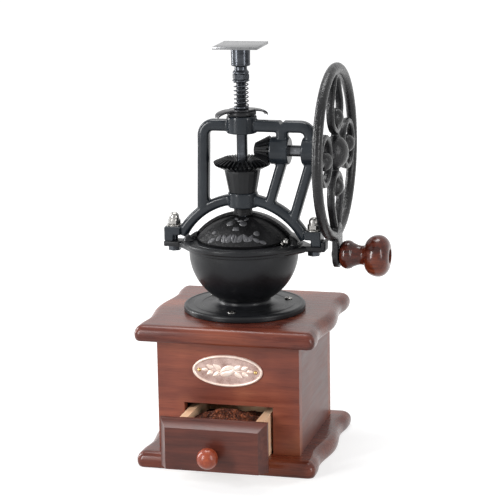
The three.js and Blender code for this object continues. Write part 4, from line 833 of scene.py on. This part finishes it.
def hopper_bowl():
    added = [
        block((-71.9, -EAR_HALF, EAR_LOW), (-46.5, EAR_HALF, EAR_TOP), 1.3, 4),
        block((46.5, -EAR_HALF, EAR_LOW), (72.2, EAR_HALF, EAR_TOP), 1.3, 4),
        block((70.6, -EAR_HALF, EAR_LOW + 0.2), (74.9, EAR_HALF, EAR_TOP + 4.6), 1.9, 5),
    ]
    for side in (-1, 1):
        added.append(lofted([[(side * (42 + (x - 42) * share), y * share, z) for x, y in GUSSET_PLAN]
                             for z, share in GUSSET_LEVELS]))
    for side, azimuth in STOPS:
        rings = []
        for y, inner, outer, rise in STOP_SLICES[::side]:
            stretch = (outer - inner) / STOP_LENGTH
            rings.append([(STOP_RADIUS + inner + (reach + STOP_REACH) * stretch, side * y,
                           RIM_TOP + height * rise) for reach, height in STOP_SHAPE])
        added.append(moved(lofted(rings), spin(azimuth)))
    piece = rough_solid("hopper_bowl_form", [turned(bowl_outline(), 128, closed=True)])
    combined(piece, added, "UNION")
    finish_piece(piece, "cabinet", black_iron, 40)


def flange_screw(index, angle):
    """A pan head with a cross recess."""
    outline = [(0, -15), (2.2, -15), (2.2, 0), (3.5, 0, 0.2), (3.6, 0.5, 0.4), (2.6, 1.3, 0.7), (0, 1.45)]
    piece = rough_solid(f"flange_screw_{index}_form", [turned(rounded(outline), 40)])
    combined(piece, [block((-0.45, -2.6, 0.7), (0.45, 2.6, 2.0), 0.05, 1),
                     block((-2.6, -0.45, 0.7), (2.6, 0.45, 2.0), 0.05, 1)])
    place = Vector((*polar(SCREW_CIRCLE, angle), FLANGE_TOP + SEAT))
    piece.data.transform(Matrix.Translation(place * MM) @ Matrix.Rotation(SCREW_TURN, 4, "Z"))
    finish_piece(piece, "cabinet", bright_chrome, 30)


hopper_bowl()
for index, angle in enumerate(SCREW_DEGREES, 1):
    flange_screw(index, angle * DEGREE)


# Lid: the rear shell with its hub, the front door with its garland, the door's knob

LID_CENTRE = 159.6
LID_RADIUS = 55.7
LID_WALL = 2.5
DOOR_RADIUS = 52.7
DOOR_LAP = 7 * DEGREE
DOOR_HUB_RADIUS = 12
FIELD_DEPTH = 1.2
FIELD_AZIMUTH = (-139.0, -39.0)
FIELD_ELEVATION = (39.0, 84.0)
FIELD_SLOPE = 11.0
RELIEF_SHARE = 0.57
SHELL_LOW = 190.3
HUB_RADIUS = 8.0
HUB_TOP = 219.1
BORE = 5.2
LUG_SHAPE = ((41.5, SEAT), (49.4, SEAT), (49.0, 1.5), (46.6, 3.4), (44.0, 5.0), (41.8, 5.2))
LUG_SLICES = ((-3.0, 0.86), (-2.5, 1.0), (0.0, 1.03), (2.5, 1.0), (3.0, 0.86))
LUG_MIDDLE = 45.4


def shell_outline(radius, wall, hub, steps=30):
    inner = radius - wall
    foot = SHELL_LOW - LID_CENTRE
    outer = ball_outline(radius, LID_CENTRE, foot / radius, math.sqrt(1 - (hub / radius) ** 2), steps)
    inside = ball_outline(inner, LID_CENTRE, math.sqrt(1 - (hub / inner) ** 2), foot / inner, steps)
    edge = [(outer[0][0] + 0.9, SHELL_LOW), (outer[0][0] + 1.0, SHELL_LOW + 1.0),
            (outer[0][0] + 0.1, SHELL_LOW + 1.9)]
    return edge + [point for point in outer if point[1] > SHELL_LOW + 2.2] + inside


def rear_shell():
    shell = turned(shell_outline(LID_RADIUS, LID_WALL, BORE), 96, closed=True, start=0.0, span=math.pi)
    hub_low = LID_CENTRE + LID_RADIUS - LID_WALL + 0.4
    hub = turned(rounded([
        (BORE, hub_low), (HUB_RADIUS + 1.2, hub_low, 0.3),
        (HUB_RADIUS + 0.2, LID_CENTRE + LID_RADIUS + 0.5, 1.2), (HUB_RADIUS, HUB_TOP - 0.4, 0.3),
        (HUB_RADIUS - 0.5, HUB_TOP, 0.3), (BORE, HUB_TOP)]), 64, closed=True)
    lugs = []
    for side in (-1, 1):
        lugs.append(lofted([[(side * (LUG_MIDDLE + (x - LUG_MIDDLE) * share), y, SHELL_LOW + height * share)
                             for x, height in LUG_SHAPE] for y, share in LUG_SLICES]))
    piece = rough_solid("lid_rear_shell_form", [shell])
    combined(piece, [hub] + lugs, "UNION")
    finish_piece(piece, "cabinet", lid_iron, 40)


def on_door(part, azimuth, elevation, turn):
    """Wraps a flat patch onto the door's sunk field. Its +Y points up the slope before it is turned."""
    points, faces = part
    azimuth, elevation, turn = azimuth * DEGREE, elevation * DEGREE, turn * DEGREE
    out = Vector((math.cos(elevation) * math.cos(azimuth), math.cos(elevation) * math.sin(azimuth),
                  math.sin(elevation)))
    side = Vector((-math.sin(azimuth), math.cos(azimuth), 0))
    rise = out.cross(side)
    made = []
    for u, v, height in points:
        across = u * math.cos(turn) - v * math.sin(turn)
        upward = u * math.sin(turn) + v * math.cos(turn)
        direction = (out + side * (across / DOOR_RADIUS) + rise * (upward / DOOR_RADIUS)).normalized()
        rise_here = height if height < 0 else height * RELIEF_SHARE
        made.append(direction * (DOOR_RADIUS - FIELD_DEPTH + rise_here) + Vector((0, 0, LID_CENTRE)))
    return made, faces


def sink_field(piece):
    """Lowers the door's outer skin where the garland lies, so that it passes under the rear shell."""
    for vertex in piece.data.vertices:
        place = vertex.co / MM - Vector((0, 0, LID_CENTRE))
        if abs(place.length - DOOR_RADIUS) > 0.3 or place.z < 1:
            continue
        azimuth = math.degrees(math.atan2(place.y, place.x))
        elevation = math.degrees(math.asin(place.z / place.length))
        inside = min(azimuth - FIELD_AZIMUTH[0], FIELD_AZIMUTH[1] - azimuth,
                     elevation - FIELD_ELEVATION[0], FIELD_ELEVATION[1] - elevation)
        share = min(max(inside / FIELD_SLOPE + 0.5, 0.0), 1.0)
        vertex.co -= place.normalized() * FIELD_DEPTH * share * share * (3 - 2 * share) * MM


def hopper_door():
    shell = turned(shell_outline(DOOR_RADIUS, LID_WALL, BORE + 0.5, 60)[3:], 150, closed=True,
                   start=math.pi - DOOR_LAP, span=math.pi + 2 * DOOR_LAP)
    low = LID_CENTRE + math.sqrt((DOOR_RADIUS - LID_WALL) ** 2 - DOOR_HUB_RADIUS ** 2)
    top = LID_CENTRE + math.sqrt(DOOR_RADIUS ** 2 - DOOR_HUB_RADIUS ** 2)
    hub = turned(rounded([(BORE + 0.5, low), (DOOR_HUB_RADIUS, low), (DOOR_HUB_RADIUS, top),
                          (BORE + 0.5, LID_CENTRE + DOOR_RADIUS - 0.3)]), 64, closed=True)
    piece = rough_solid("hopper_door_form", [shell])
    combined(piece, [hub], "UNION")
    sink_field(piece)
    finish_piece(piece, "lid_door", lid_iron, 40)


# Shape, width, length, rise, azimuth, elevation and turn of each figure of the garland
GARLAND = (
    (BEAD, 3.5, 3.4, 2.2, -112.0, 68.2, 0), (BEAD, 3.6, 3.6, 2.2, -75.7, 69.4, 0),
    (BEAD, 2.2, 2.2, 1.9, -128.7, 52.4, 0), (BEAD, 2.9, 2.9, 2.3, -53.3, 53.6, 0),
    (TILE, 3.2, 2.5, 1.9, -90.1, 61.0, 4), (BEAN, 1.5, 3.6, 1.7, -112.0, 79.0, 60),
    (BEAN, 1.5, 3.6, 1.7, -60.0, 78.2, -50), (BEAN, 1.5, 3.8, 1.6, -85.0, 74.4, 82),
    (LEAF, 2.4, 4.5, 1.9, -123.0, 43.6, -52), (LEAF, 2.1, 3.9, 1.9, -113.4, 47.8, -12),
    (LEAF, 2.7, 4.9, 2.2, -104.4, 47.6, 24), (LEAF, 2.7, 5.3, 2.3, -96.8, 48.1, -14),
    (BEAN, 3.2, 4.9, 2.6, -88.6, 48.3, 12), (LEAF, 2.7, 5.3, 2.3, -80.4, 48.9, -30),
    (LEAF, 2.7, 4.9, 2.2, -72.6, 49.2, 22), (LEAF, 2.3, 4.5, 2.1, -64.8, 48.8, -36),
    (LEAF, 2.0, 3.9, 1.9, -57.6, 46.0, 48), (LEAF, 2.2, 4.0, 1.8, -49.4, 42.8, 58),
)


def garland():
    parts = [on_door(patch(width, length, rise, shape), azimuth, elevation, turn)
             for shape, width, length, rise, azimuth, elevation, turn in GARLAND]
    # The garland's lighter iron is a painted highlight on the raised figures.
    form("door_garland", many(parts), "lid_door", relief_iron_painted_highlight, 50)


def door_knob(azimuth, elevation):
    start = DOOR_RADIUS + SEAT
    pull = rounded([(0, start), (1.9, start, 0.2), (1.9, start + 0.6, 0.2), (1.2, start + 0.9, 0.3),
                    (1.2, start + 1.6, 0.4), (1.7, start + 1.9, 0.2)])
    pull += ball_outline(2.8, start + 4.2, -0.72, 1.0, 16)
    place = Matrix.Translation((0, 0, LID_CENTRE)) @ spin(azimuth) @ spin(90 - elevation, "Y")
    form("door_knob_form", moved(turned(pull, 40), place), "lid_door", bright_chrome, 30)


rear_shell()
hopper_door()
garland()
door_knob(-22.7, 36.6)


# Frame casting

AXIS_Z = 270.5
BAR = (10.6, 12.0)
STRUT_WIDTH = 9.0
ARCH_WIDTH = 9.8
ARCH_RADIUS = 63.4
ARCH_CENTRE = 163.4
CROWN_Z = 291.8
CROWN_CORNER = 9.0
HANGER_X = 36.3
HOOP_RIGHT = 61.5
FOOT_STEP = 193.0
FOOT_TOP = 200.5
FOOT_HALF = 8.5
NOTCH_HALF = 3.4
NUT_CHAMFER = 1.14
CAP_RADIUS = 4.6


def boss(radius, low, high, low_edge, high_edge):
    return turned(rounded([(0, low), (radius, low, low_edge), (radius, high, high_edge), (0, high)]), 72)


def main_frame():
    end = math.asin((FOOT_STEP - ARCH_CENTRE) / ARCH_RADIUS)

    def on_arch(x):
        return ARCH_CENTRE + math.sqrt(ARCH_RADIUS ** 2 - x ** 2)
    corner_z = CROWN_Z - CROWN_CORNER
    hoop = ([(-36.0, on_arch(36.0)), (-35.7, on_arch(36.0) + 14), (-34.6, corner_z - 12)]
            + arc(CROWN_CORNER - 34.4, corner_z, CROWN_CORNER, math.pi, math.pi / 2, 14)
            + [(-12.0, CROWN_Z), (0.0, CROWN_Z), (30.0, CROWN_Z)]
            + arc(HOOP_RIGHT - CROWN_CORNER, corner_z, CROWN_CORNER, math.pi / 2, 0, 14)
            + [(HOOP_RIGHT, AXIS_Z)])
    parts = [
        swept(arc(0, ARCH_CENTRE, ARCH_RADIUS, math.pi - end, end, 72), ARCH_WIDTH, BAR[1]),
        swept(hoop, *BAR),
        swept([(HANGER_X, CROWN_Z), (HANGER_X, AXIS_Z)], *BAR),
        swept([(39.0, AXIS_Z), (24.1, on_arch(24.1))], STRUT_WIDTH, BAR[1]),
        swept([(64.1, AXIS_Z), (45.2, on_arch(45.2))], STRUT_WIDTH, BAR[1]),
        boss(13.2, 219.6, 233.1, 0.9, 1.0),
        boss(13.3, 285.3, 300.4, 0.7, 0.9),
        along_x(boss(12.2, 26.3, 42.7, 0.9, 0.9), AXIS_Z),
        along_x(boss(12.2, 54.6, 70.4, 0.9, 0.9), AXIS_Z),
    ]
    for side in (-1, 1):
        for inner, low, high in ((56.1, FOOT_STEP, FOOT_TOP), (62.6, EAR_TOP + SEAT, FOOT_STEP + 2.0)):
            ends = sorted((side * inner, side * (BOLT_X + 7.5)))
            parts.append(block((ends[0], -FOOT_HALF, low), (ends[1], FOOT_HALF, high), 0.8, 3))
    piece = fused("main_frame_form", parts, 0.7, 3)
    notch = [(HANGER_X - NOTCH_HALF, CROWN_Z + 6.4), (HANGER_X, CROWN_Z + 1.7),
             (HANGER_X + NOTCH_HALF, CROWN_Z + 6.4)]
    combined(piece, [lofted([[(x, y, z) for x, z in notch] for y in (-9, 9)])])
    finish_piece(piece, "cabinet", frame_iron, 45)


def hex_nut(across, low, high):
    """A six-sided nut whose corners are turned off at both ends."""
    reach = across / math.sqrt(3)
    slope = reach - across / 2
    sides = 72
    rings = []
    for z, turned_off in ((low, slope), (low + slope * 0.55, 0.0), (high - slope * 0.55, 0.0), (high, slope)):
        ring = []
        for k in range(sides):
            angle = TURN * k / sides
            flat = (angle % (TURN / 6)) - TURN / 12
            radius = min(across / 2 / math.cos(flat), reach - turned_off * NUT_CHAMFER)
            ring.append((*polar(radius, angle), z))
        rings.append(ring)
    return lofted(rings)


def foot_nut(word, side):
    """A washer and a cap nut on the bolt through one foot."""
    base = FOOT_TOP + SEAT
    ring = rounded([(3.1, base), (7.0, base, 0.2), (7.0, base + 1.0, 0.2), (3.1, base + 1.0)])
    washer = moved(turned(ring, 48, closed=True), Matrix.Translation((side * BOLT_X, 0, 0)))
    form(f"frame_washer_{word}_form", washer, "cabinet", bright_chrome, 30)
    low = FOOT_TOP + 1.1
    cap = [(0, low + 2.0), (CAP_RADIUS, low + 2.0), (CAP_RADIUS + 0.02, low + 4.4)]
    cap += [(CAP_RADIUS * math.cos(angle * DEGREE), low + 6.4 + CAP_RADIUS * math.sin(angle * DEGREE))
            for angle in range(0, 90, 9)]
    cap += [(0, low + 11.0)]
    piece = rough_solid(f"acorn_nut_{word}_form", [hex_nut(10.0, low, low + 4.6)])
    combined(piece, [turned(cap, 48)], "UNION")
    piece.data.transform(Matrix.Translation((side * BOLT_X * MM, 0, 0)))
    finish_piece(piece, "cabinet", bright_chrome, 30)


main_frame()
foot_nut("left", -1)
foot_nut("right", 1)


# Main shaft and what stands on it

SHAFT_RADIUS = 4.8
SHAFT_FLAT = 3.9
SHAFT_SIDES = 64
THREAD = (3.9, 4.5, 1.5)
THREAD_SPAN = (304.3, 351.0)
PLATE_LOW = 304.55
PLATE_THICK = 1.8
WING = (9.6, 23.0, 12.0, 4.4)
WING_SINK = 0.22
SPRING = (6.1, 1.2, 308.85, 21.0, 5.5)


def main_shaft():
    count = SHAFT_SIDES
    angles = [TURN * k / count for k in range(count)]
    rings = []
    for z, radius, flat in (
        (119.0, 4.3, 4.3), (119.5, SHAFT_RADIUS, SHAFT_RADIUS), (231.8, SHAFT_RADIUS, SHAFT_RADIUS),
        (231.9, SHAFT_RADIUS, SHAFT_FLAT), (285.1, SHAFT_RADIUS, SHAFT_FLAT),
        (285.2, SHAFT_RADIUS, SHAFT_RADIUS), (303.4, SHAFT_RADIUS, SHAFT_RADIUS), (304.0, 4.4, 4.4),
    ):
        rings.append([(radius * math.cos(angle), max(radius * math.sin(angle), -flat), z)
                      for angle in angles])
    core, crest, pitch = THREAD
    z, top = THREAD_SPAN
    while z < top:
        ring = []
        for k, angle in enumerate(angles):
            phase = (z / pitch - k / count) % 1.0
            radius = core + (crest - core) * (1 - abs(2 * phase - 1))
            ring.append((*polar(radius, angle), z))
        rings.append(ring)
        z += pitch / 8
    form("main_shaft_form", lofted(rings), "shaft", dark_steel, 50)


def adjuster_wings():
    """A disc with two wings that bend down and curl at their sides."""
    top = PLATE_LOW + PLATE_THICK
    disc = turned(rounded([(4.9, PLATE_LOW), (11.0, PLATE_LOW, 0.3), (11.4, PLATE_LOW + 0.5, 0.3),
                           (11.4, PLATE_LOW + 1.3, 0.3), (10.9, top, 0.3), (4.9, top)]), 72, closed=True)
    start, end, width, bend = WING
    steps, across_steps = 20, 12
    wings = []
    for turn in (35, 215):
        rings = []
        for k in range(steps + 1):
            share = k / steps
            radius = start + (end - start) * math.sin(share * math.pi / 2)
            drop = bend * (1 - math.cos(share * math.pi / 2)) + WING_SINK
            half = width / 2 * (1 - 0.35 * share ** 4)
            upper = []
            for j in range(across_steps + 1):
                across = -1 + 2 * j / across_steps
                upper.append((radius, across * half, top - drop - 0.9 * across ** 2 * share))
            rings.append(upper + [(x, y, z - PLATE_THICK * 0.95) for x, y, z in reversed(upper)])
        wings.append(moved(lofted(rings), spin(turn)))
    piece = rough_solid("adjuster_wings_form", [disc])
    combined(piece, wings, "UNION")
    add_bevel(piece, 0.22, 50)
    baked(piece)
    finish_piece(piece, "star_adjuster", black_steel, 34)


def adjuster_spring():
    radius, wire, low, length, curls = SPRING
    steps, sides = int(curls * 40), 12
    rise = (length - wire) / (TURN * curls)
    rings = []
    for k in range(steps + 1):
        angle = TURN * curls * k / steps
        centre = Vector((*polar(radius, angle), low + wire / 2 + (length - wire) * k / steps))
        along = Vector((-radius * math.sin(angle), radius * math.cos(angle), rise)).normalized()
        outward = Vector((*polar(1, angle), 0))
        upward = along.cross(outward)
        rings.append([centre + outward * (wire / 2 * math.cos(TURN * j / sides))
                      + upward * (wire / 2 * math.sin(TURN * j / sides)) for j in range(sides)])
    form("adjuster_spring_form", lofted(rings), "grind_lift", dark_steel, 50)


main_shaft()
adjuster_wings()
adjuster_spring()
form("hex_lock_nut_form", hex_nut(13.0, 332.2, 337.2), "shaft", dark_steel, 24)
plate = block((-19.8, -22.3, 360.25), (19.8, 22.3, 362.65), 0.35, 2)
form("top_plate_form", moved(plate, spin(1.5)), "shaft", plate_steel, 30)

# Rings on the shaft: node, body, foot, finish and slot, then each corner's radius, height and rounding
for node, body, foot, finish, slot, corners in (
    ("adjuster_bush", "star_adjuster", 290.4, gear_iron, "gear_iron", [
        (4.9, 0), (7.6, 0), (8.0, 0.5), (8.0, 10.7), (12.4, 10.7, 0.3), (12.8, 11.2, 0.3), (12.8, 13.1, 0.4),
        (12.0, 14.1, 0.6), (4.9, 14.1)]),
    ("spring_seat", "grind_lift", 306.4, dark_steel, "dark_steel", [
        (4.9, 0), (6.2, 0, 0.2), (6.6, 0.5, 0.3), (6.6, 1.7, 0.3), (6.0, 2.4, 0.3), (4.9, 2.4)]),
    ("spring_cap", "shaft", 330.15, dark_steel, "dark_steel", [
        (4.9, 0), (6.6, 0, 0.2), (7.6, 0.7, 0.3), (7.6, 1.3, 0.3), (6.9, 2.0, 0.3), (4.9, 2.0)]),
    ("top_nut", "shaft", 337.25, dark_steel, "dark_steel", [
        (4.9, 0), (6.9, 0, 0.3), (7.3, 0.55, 0.3), (7.2, 1.35, 0.4), (5.6, 3.35, 0.5), (5.5, 6.05, 0.3),
        (5.1, 6.6, 0.2), (4.9, 6.6)]),
    ("top_socket", "shaft", 343.9, dark_steel, "dark_steel", [
        (5.1, 0), (7.8, 0, 0.2), (8.5, 0.8, 0.4), (8.5, 1.8, 0.2), (8.3, 2.1, 0.2), (8.5, 15.9, 0.2),
        (8.2, 16.3, 0.2), (5.1, 16.3)]),
):
    outline = rounded([(radius, foot + height, *rounding) for radius, height, *rounding in corners])
    form(f"{node}_form", turned(outline, 72, closed=True), body, finish, 34)


# Horizontal shaft, handwheel and grip

WHEEL_X = 83.0
WHEEL_RADIUS = 77.2
RIM = (10.0, 8.8)
LOOP_WIDTH = 5.2
BAR_WIDTH = 6.0
BAR_THICK = 7.0
BAR_START = 4.0
BAR_END = 71.0
DROP = (21.4, 37.5, 11.5, 58.0)
RING_RADIUS = 22.6
RING_OFFSET = 46.0
BALL_OFFSET = 30.3
BALL = (8.2, 7.5)
HUB_DOME = (14.6, 11.5)
HUB_BACK = 71.2
SKIN = ((0.45, 0.12), (1.1, 0.09))
CRANK_RADIUS = 90.2
CRANK_Z = AXIS_Z - CRANK_RADIUS
TAB_RADII = (11.4, 10.3)
TAB_X = 1.4
TAB_HALF = 2.5
TAB_REACH = 20
TAB_EDGE = ((0.6, -TAB_HALF), (0.1, -2.2), (0, -1.8), (0, 1.8), (0.1, 2.2), (0.6, TAB_HALF))


def drop_path(lobe, lobe_offset, tip, tip_offset, steps=64):
    """The outline round two circles in line, as points [y, z]."""
    slope = math.asin((lobe - tip) / (tip_offset - lobe_offset))
    low = arc(0, lobe_offset, lobe, math.pi - slope, TURN + slope, steps)
    high = arc(0, tip_offset, tip, slope, math.pi - slope, steps // 2)
    return low + high[1:-1]


def ellipsoid(z, radius, rise):
    shape = Matrix.Translation((0, 0, z)) @ Matrix.Diagonal((rise, radius, radius, 1))
    return moved(turned(ball_outline(1.0, 0.0, -1.0, 1.0, 24), 40), shape)


def crank_tab():
    """The flat tab that carries the grip, with its edges eased towards its middle."""
    reach = WHEEL_RADIUS - 5
    path = drop_path(TAB_RADII[0], -CRANK_RADIUS, TAB_RADII[1], -reach)
    middle = Vector((0, -(CRANK_RADIUS + reach) / 2))
    return lofted([[(TAB_X + x, *(middle + (Vector(point) - middle) * (1 - inset / TAB_REACH)))
                    for point in path] for inset, x in TAB_EDGE])


def handwheel():
    rim = arc(0, 0, WHEEL_RADIUS - RIM[0] / 2, 0, TURN, 160)[:-1]
    parts = [band(rim, *RIM, sides=28, power=1.0, phase=0.0)]
    lobe, lobe_offset, tip, tip_offset = DROP
    drop = drop_path(lobe - LOOP_WIDTH / 2, lobe_offset, tip - LOOP_WIDTH / 2, tip_offset)
    ring = arc(0, RING_OFFSET, RING_RADIUS - LOOP_WIDTH / 2, 0, TURN, 72)[:-1]
    upright, level = (drop, BALL_OFFSET, BALL_OFFSET), (ring, RING_OFFSET, BAR_END)
    for turn, (loop, ball, bar_end) in ((0, upright), (180, upright), (90, level), (270, level)):
        bar = band([(0, BAR_START), (0, bar_end)], BAR_WIDTH, BAR_THICK, closed=False)
        for part in (band(loop, LOOP_WIDTH, BAR_THICK), ellipsoid(ball, *BALL), bar):
            parts.append(moved(part, spin(turn, "X")))
    parts.append(ellipsoid(0, *HUB_DOME))
    back = HUB_BACK - WHEEL_X
    parts.append(along_x(turned(rounded([(0, back), (11.0, back, 0.8), (11.0, 0, 0.5), (0, 0)]), 48), 0))
    piece = fused("handwheel_form", parts, 0.72, 2)
    combined(piece, [crank_tab()], "UNION")
    normals = [vertex.normal.copy() for vertex in piece.data.vertices]
    for vertex, normal in zip(piece.data.vertices, normals):
        place = vertex.co / MM
        vertex.co += normal * sum(noise.noise(place * pitch) * height for pitch, height in SKIN) * MM
    piece.data.transform(Matrix.Translation(Vector((WHEEL_X, 0, AXIS_Z)) * MM))
    finish_piece(piece, "wheel", wheel_iron, 60)


shaft_outline = rounded([(0, 11.4), (4.6, 11.4, 0.2), (5.0, 11.9, 0.3), (5.0, 82.9), (0, 82.9)])
form("wheel_shaft_form", along_x(turned(shaft_outline, 64), AXIS_Z), "wheel", cross_steel)
handwheel()

GRIP_START = 87.2
GRIP_LENGTH = 43.8
GRIP_END = GRIP_START + GRIP_LENGTH
GRIP_RADIUS = 18.3
GRIP_SHAPE = (
    (0.0, 0.40), (0.012, 0.50), (0.035, 0.575), (0.07, 0.635), (0.11, 0.672), (0.15, 0.684), (0.19, 0.676),
    (0.225, 0.645), (0.25, 0.60), (0.262, 0.575), (0.275, 0.565), (0.31, 0.53), (0.345, 0.495), (0.385, 0.47),
    (0.42, 0.46), (0.455, 0.465), (0.48, 0.485), (0.50, 0.525), (0.512, 0.585), (0.52, 0.655), (0.532, 0.715),
    (0.555, 0.775), (0.585, 0.85), (0.625, 0.915), (0.67, 0.962), (0.72, 0.99), (0.765, 1.0), (0.81, 0.99),
    (0.855, 0.955), (0.895, 0.90), (0.93, 0.825), (0.958, 0.74), (0.98, 0.64), (0.993, 0.53), (1.0, 0.44),
)


def crank_grip():
    outline = [(3.1, GRIP_START)]
    outline += [(across * GRIP_RADIUS, GRIP_START + along * GRIP_LENGTH) for along, across in GRIP_SHAPE]
    outline += rounded([(6.5, GRIP_END), (6.2, GRIP_END, 0.3), (6.1, GRIP_END - 0.6, 0.3),
                        (6.1, GRIP_END - 4.4, 0.3), (3.1, GRIP_END - 4.4)])
    part = along_x(turned(outline, 96, closed=True), CRANK_Z)
    form("crank_grip_form", part, "grip", grip_wood, 34)


def crank_spindle():
    back = WHEEL_X + TAB_X - TAB_HALF
    head = GRIP_END - 4.1
    outline = rounded([
        (0, back - 2.4), (3.2, back - 2.4, 0.8), (5.0, back - 1.0, 0.6), (5.0, back - SEAT, 0.1),
        (3.0, back - SEAT), (3.0, head), (4.9, head, 0.2), (5.0, head + 0.8, 0.4), (3.6, head + 1.9, 0.6),
        (0, head + 2.0)])
    piece = rough_solid("crank_spindle_form", [along_x(turned(outline, 48), CRANK_Z)])
    combined(piece, [block((head + 1.0, -0.5, CRANK_Z - 6), (head + 3.0, 0.5, CRANK_Z + 6), 0.05, 1)])
    finish_piece(piece, "wheel", plain_steel, 30)


crank_grip()
crank_spindle()


# Floor, lamps and world, in metres

FLOOR_HALF = 9.0
FLOOR_INNER = 0.30
FLOOR_OUTER = 0.95
FLOOR_MATT = 0.40
WORLD_DIFFUSE = 0.24
LAMP_AIM = (0, 0, 0.2)


def backdrop_share(tree):
    """1 for rays from the camera and from mirror or glass bounces, 0 for diffuse light."""
    path = new_node(tree, "LightPath")
    share = arithmetic(tree, "MAXIMUM", path.outputs["Is Camera Ray"], path.outputs["Is Glossy Ray"])
    return arithmetic(tree, "MAXIMUM", share, path.outputs["Is Transmission Ray"])


def make_floor():
    size = FLOOR_HALF
    mesh = bpy.data.meshes.new("floor")
    mesh.from_pydata([(-size, -size, 0), (size, -size, 0), (size, size, 0), (-size, size, 0)], [],
                     [(0, 1, 2, 3)])
    floor = add_object("floor", mesh)
    material = bpy.data.materials.new("floor")
    material.use_nodes = True
    tree = material.node_tree
    tree.nodes.clear()
    output = new_node(tree, "OutputMaterial")
    place = new_node(tree, "TexCoord").outputs["Object"]
    away = new_node(tree, "VectorMath", {0: place}, operation="LENGTH").outputs["Value"]
    lift = spread(tree, away, FLOOR_INNER, FLOOR_OUTER, 0.70, 1.0)
    glow = new_node(tree, "Emission", {
        "Color": (1, 1, 1, 1), "Strength": arithmetic(tree, "MULTIPLY", lift, backdrop_share(tree))})
    matt = new_node(tree, "BsdfDiffuse", {"Color": (FLOOR_MATT, FLOOR_MATT, FLOOR_MATT, 1)})
    both = new_node(tree, "AddShader", {0: glow.outputs[0], 1: matt.outputs[0]})
    tree.links.new(both.outputs[0], output.inputs["Surface"])
    floor.data.materials.append(material)


def lamp(name, place, size, power):
    data = bpy.data.lights.new(name, "AREA")
    data.shape = "RECTANGLE"
    data.size, data.size_y = size
    data.energy = power
    made = add_object(name, data)
    made.location = place
    made.rotation_euler = (Vector(LAMP_AIM) - Vector(place)).to_track_quat("-Z", "Y").to_euler()
    made.visible_camera = False


def make_world():
    world = bpy.data.worlds.new("studio")
    bpy.context.scene.world = world
    world.use_nodes = True
    tree = world.node_tree
    background = tree.nodes["Background"]
    background.inputs["Color"].default_value = (1, 1, 1, 1)
    strength = spread(tree, backdrop_share(tree), 0.0, 1.0, WORLD_DIFFUSE, 1.0)
    tree.links.new(strength, background.inputs["Strength"])


make_floor()
make_world()
lamp("key", (-0.85, -1.15, 0.62), (0.18, 1.0), 19.0)
lamp("left", (-1.3, 0.2, 0.6), (0.18, 1.0), 15.0)
lamp("fill", (1.25, -0.7, 0.6), (0.2, 0.9), 9.0)
lamp("top", (-0.1, 0.35, 1.5), (1.0, 0.4), 13.0)

bpy.context.scene.view_settings.view_transform = "Standard"
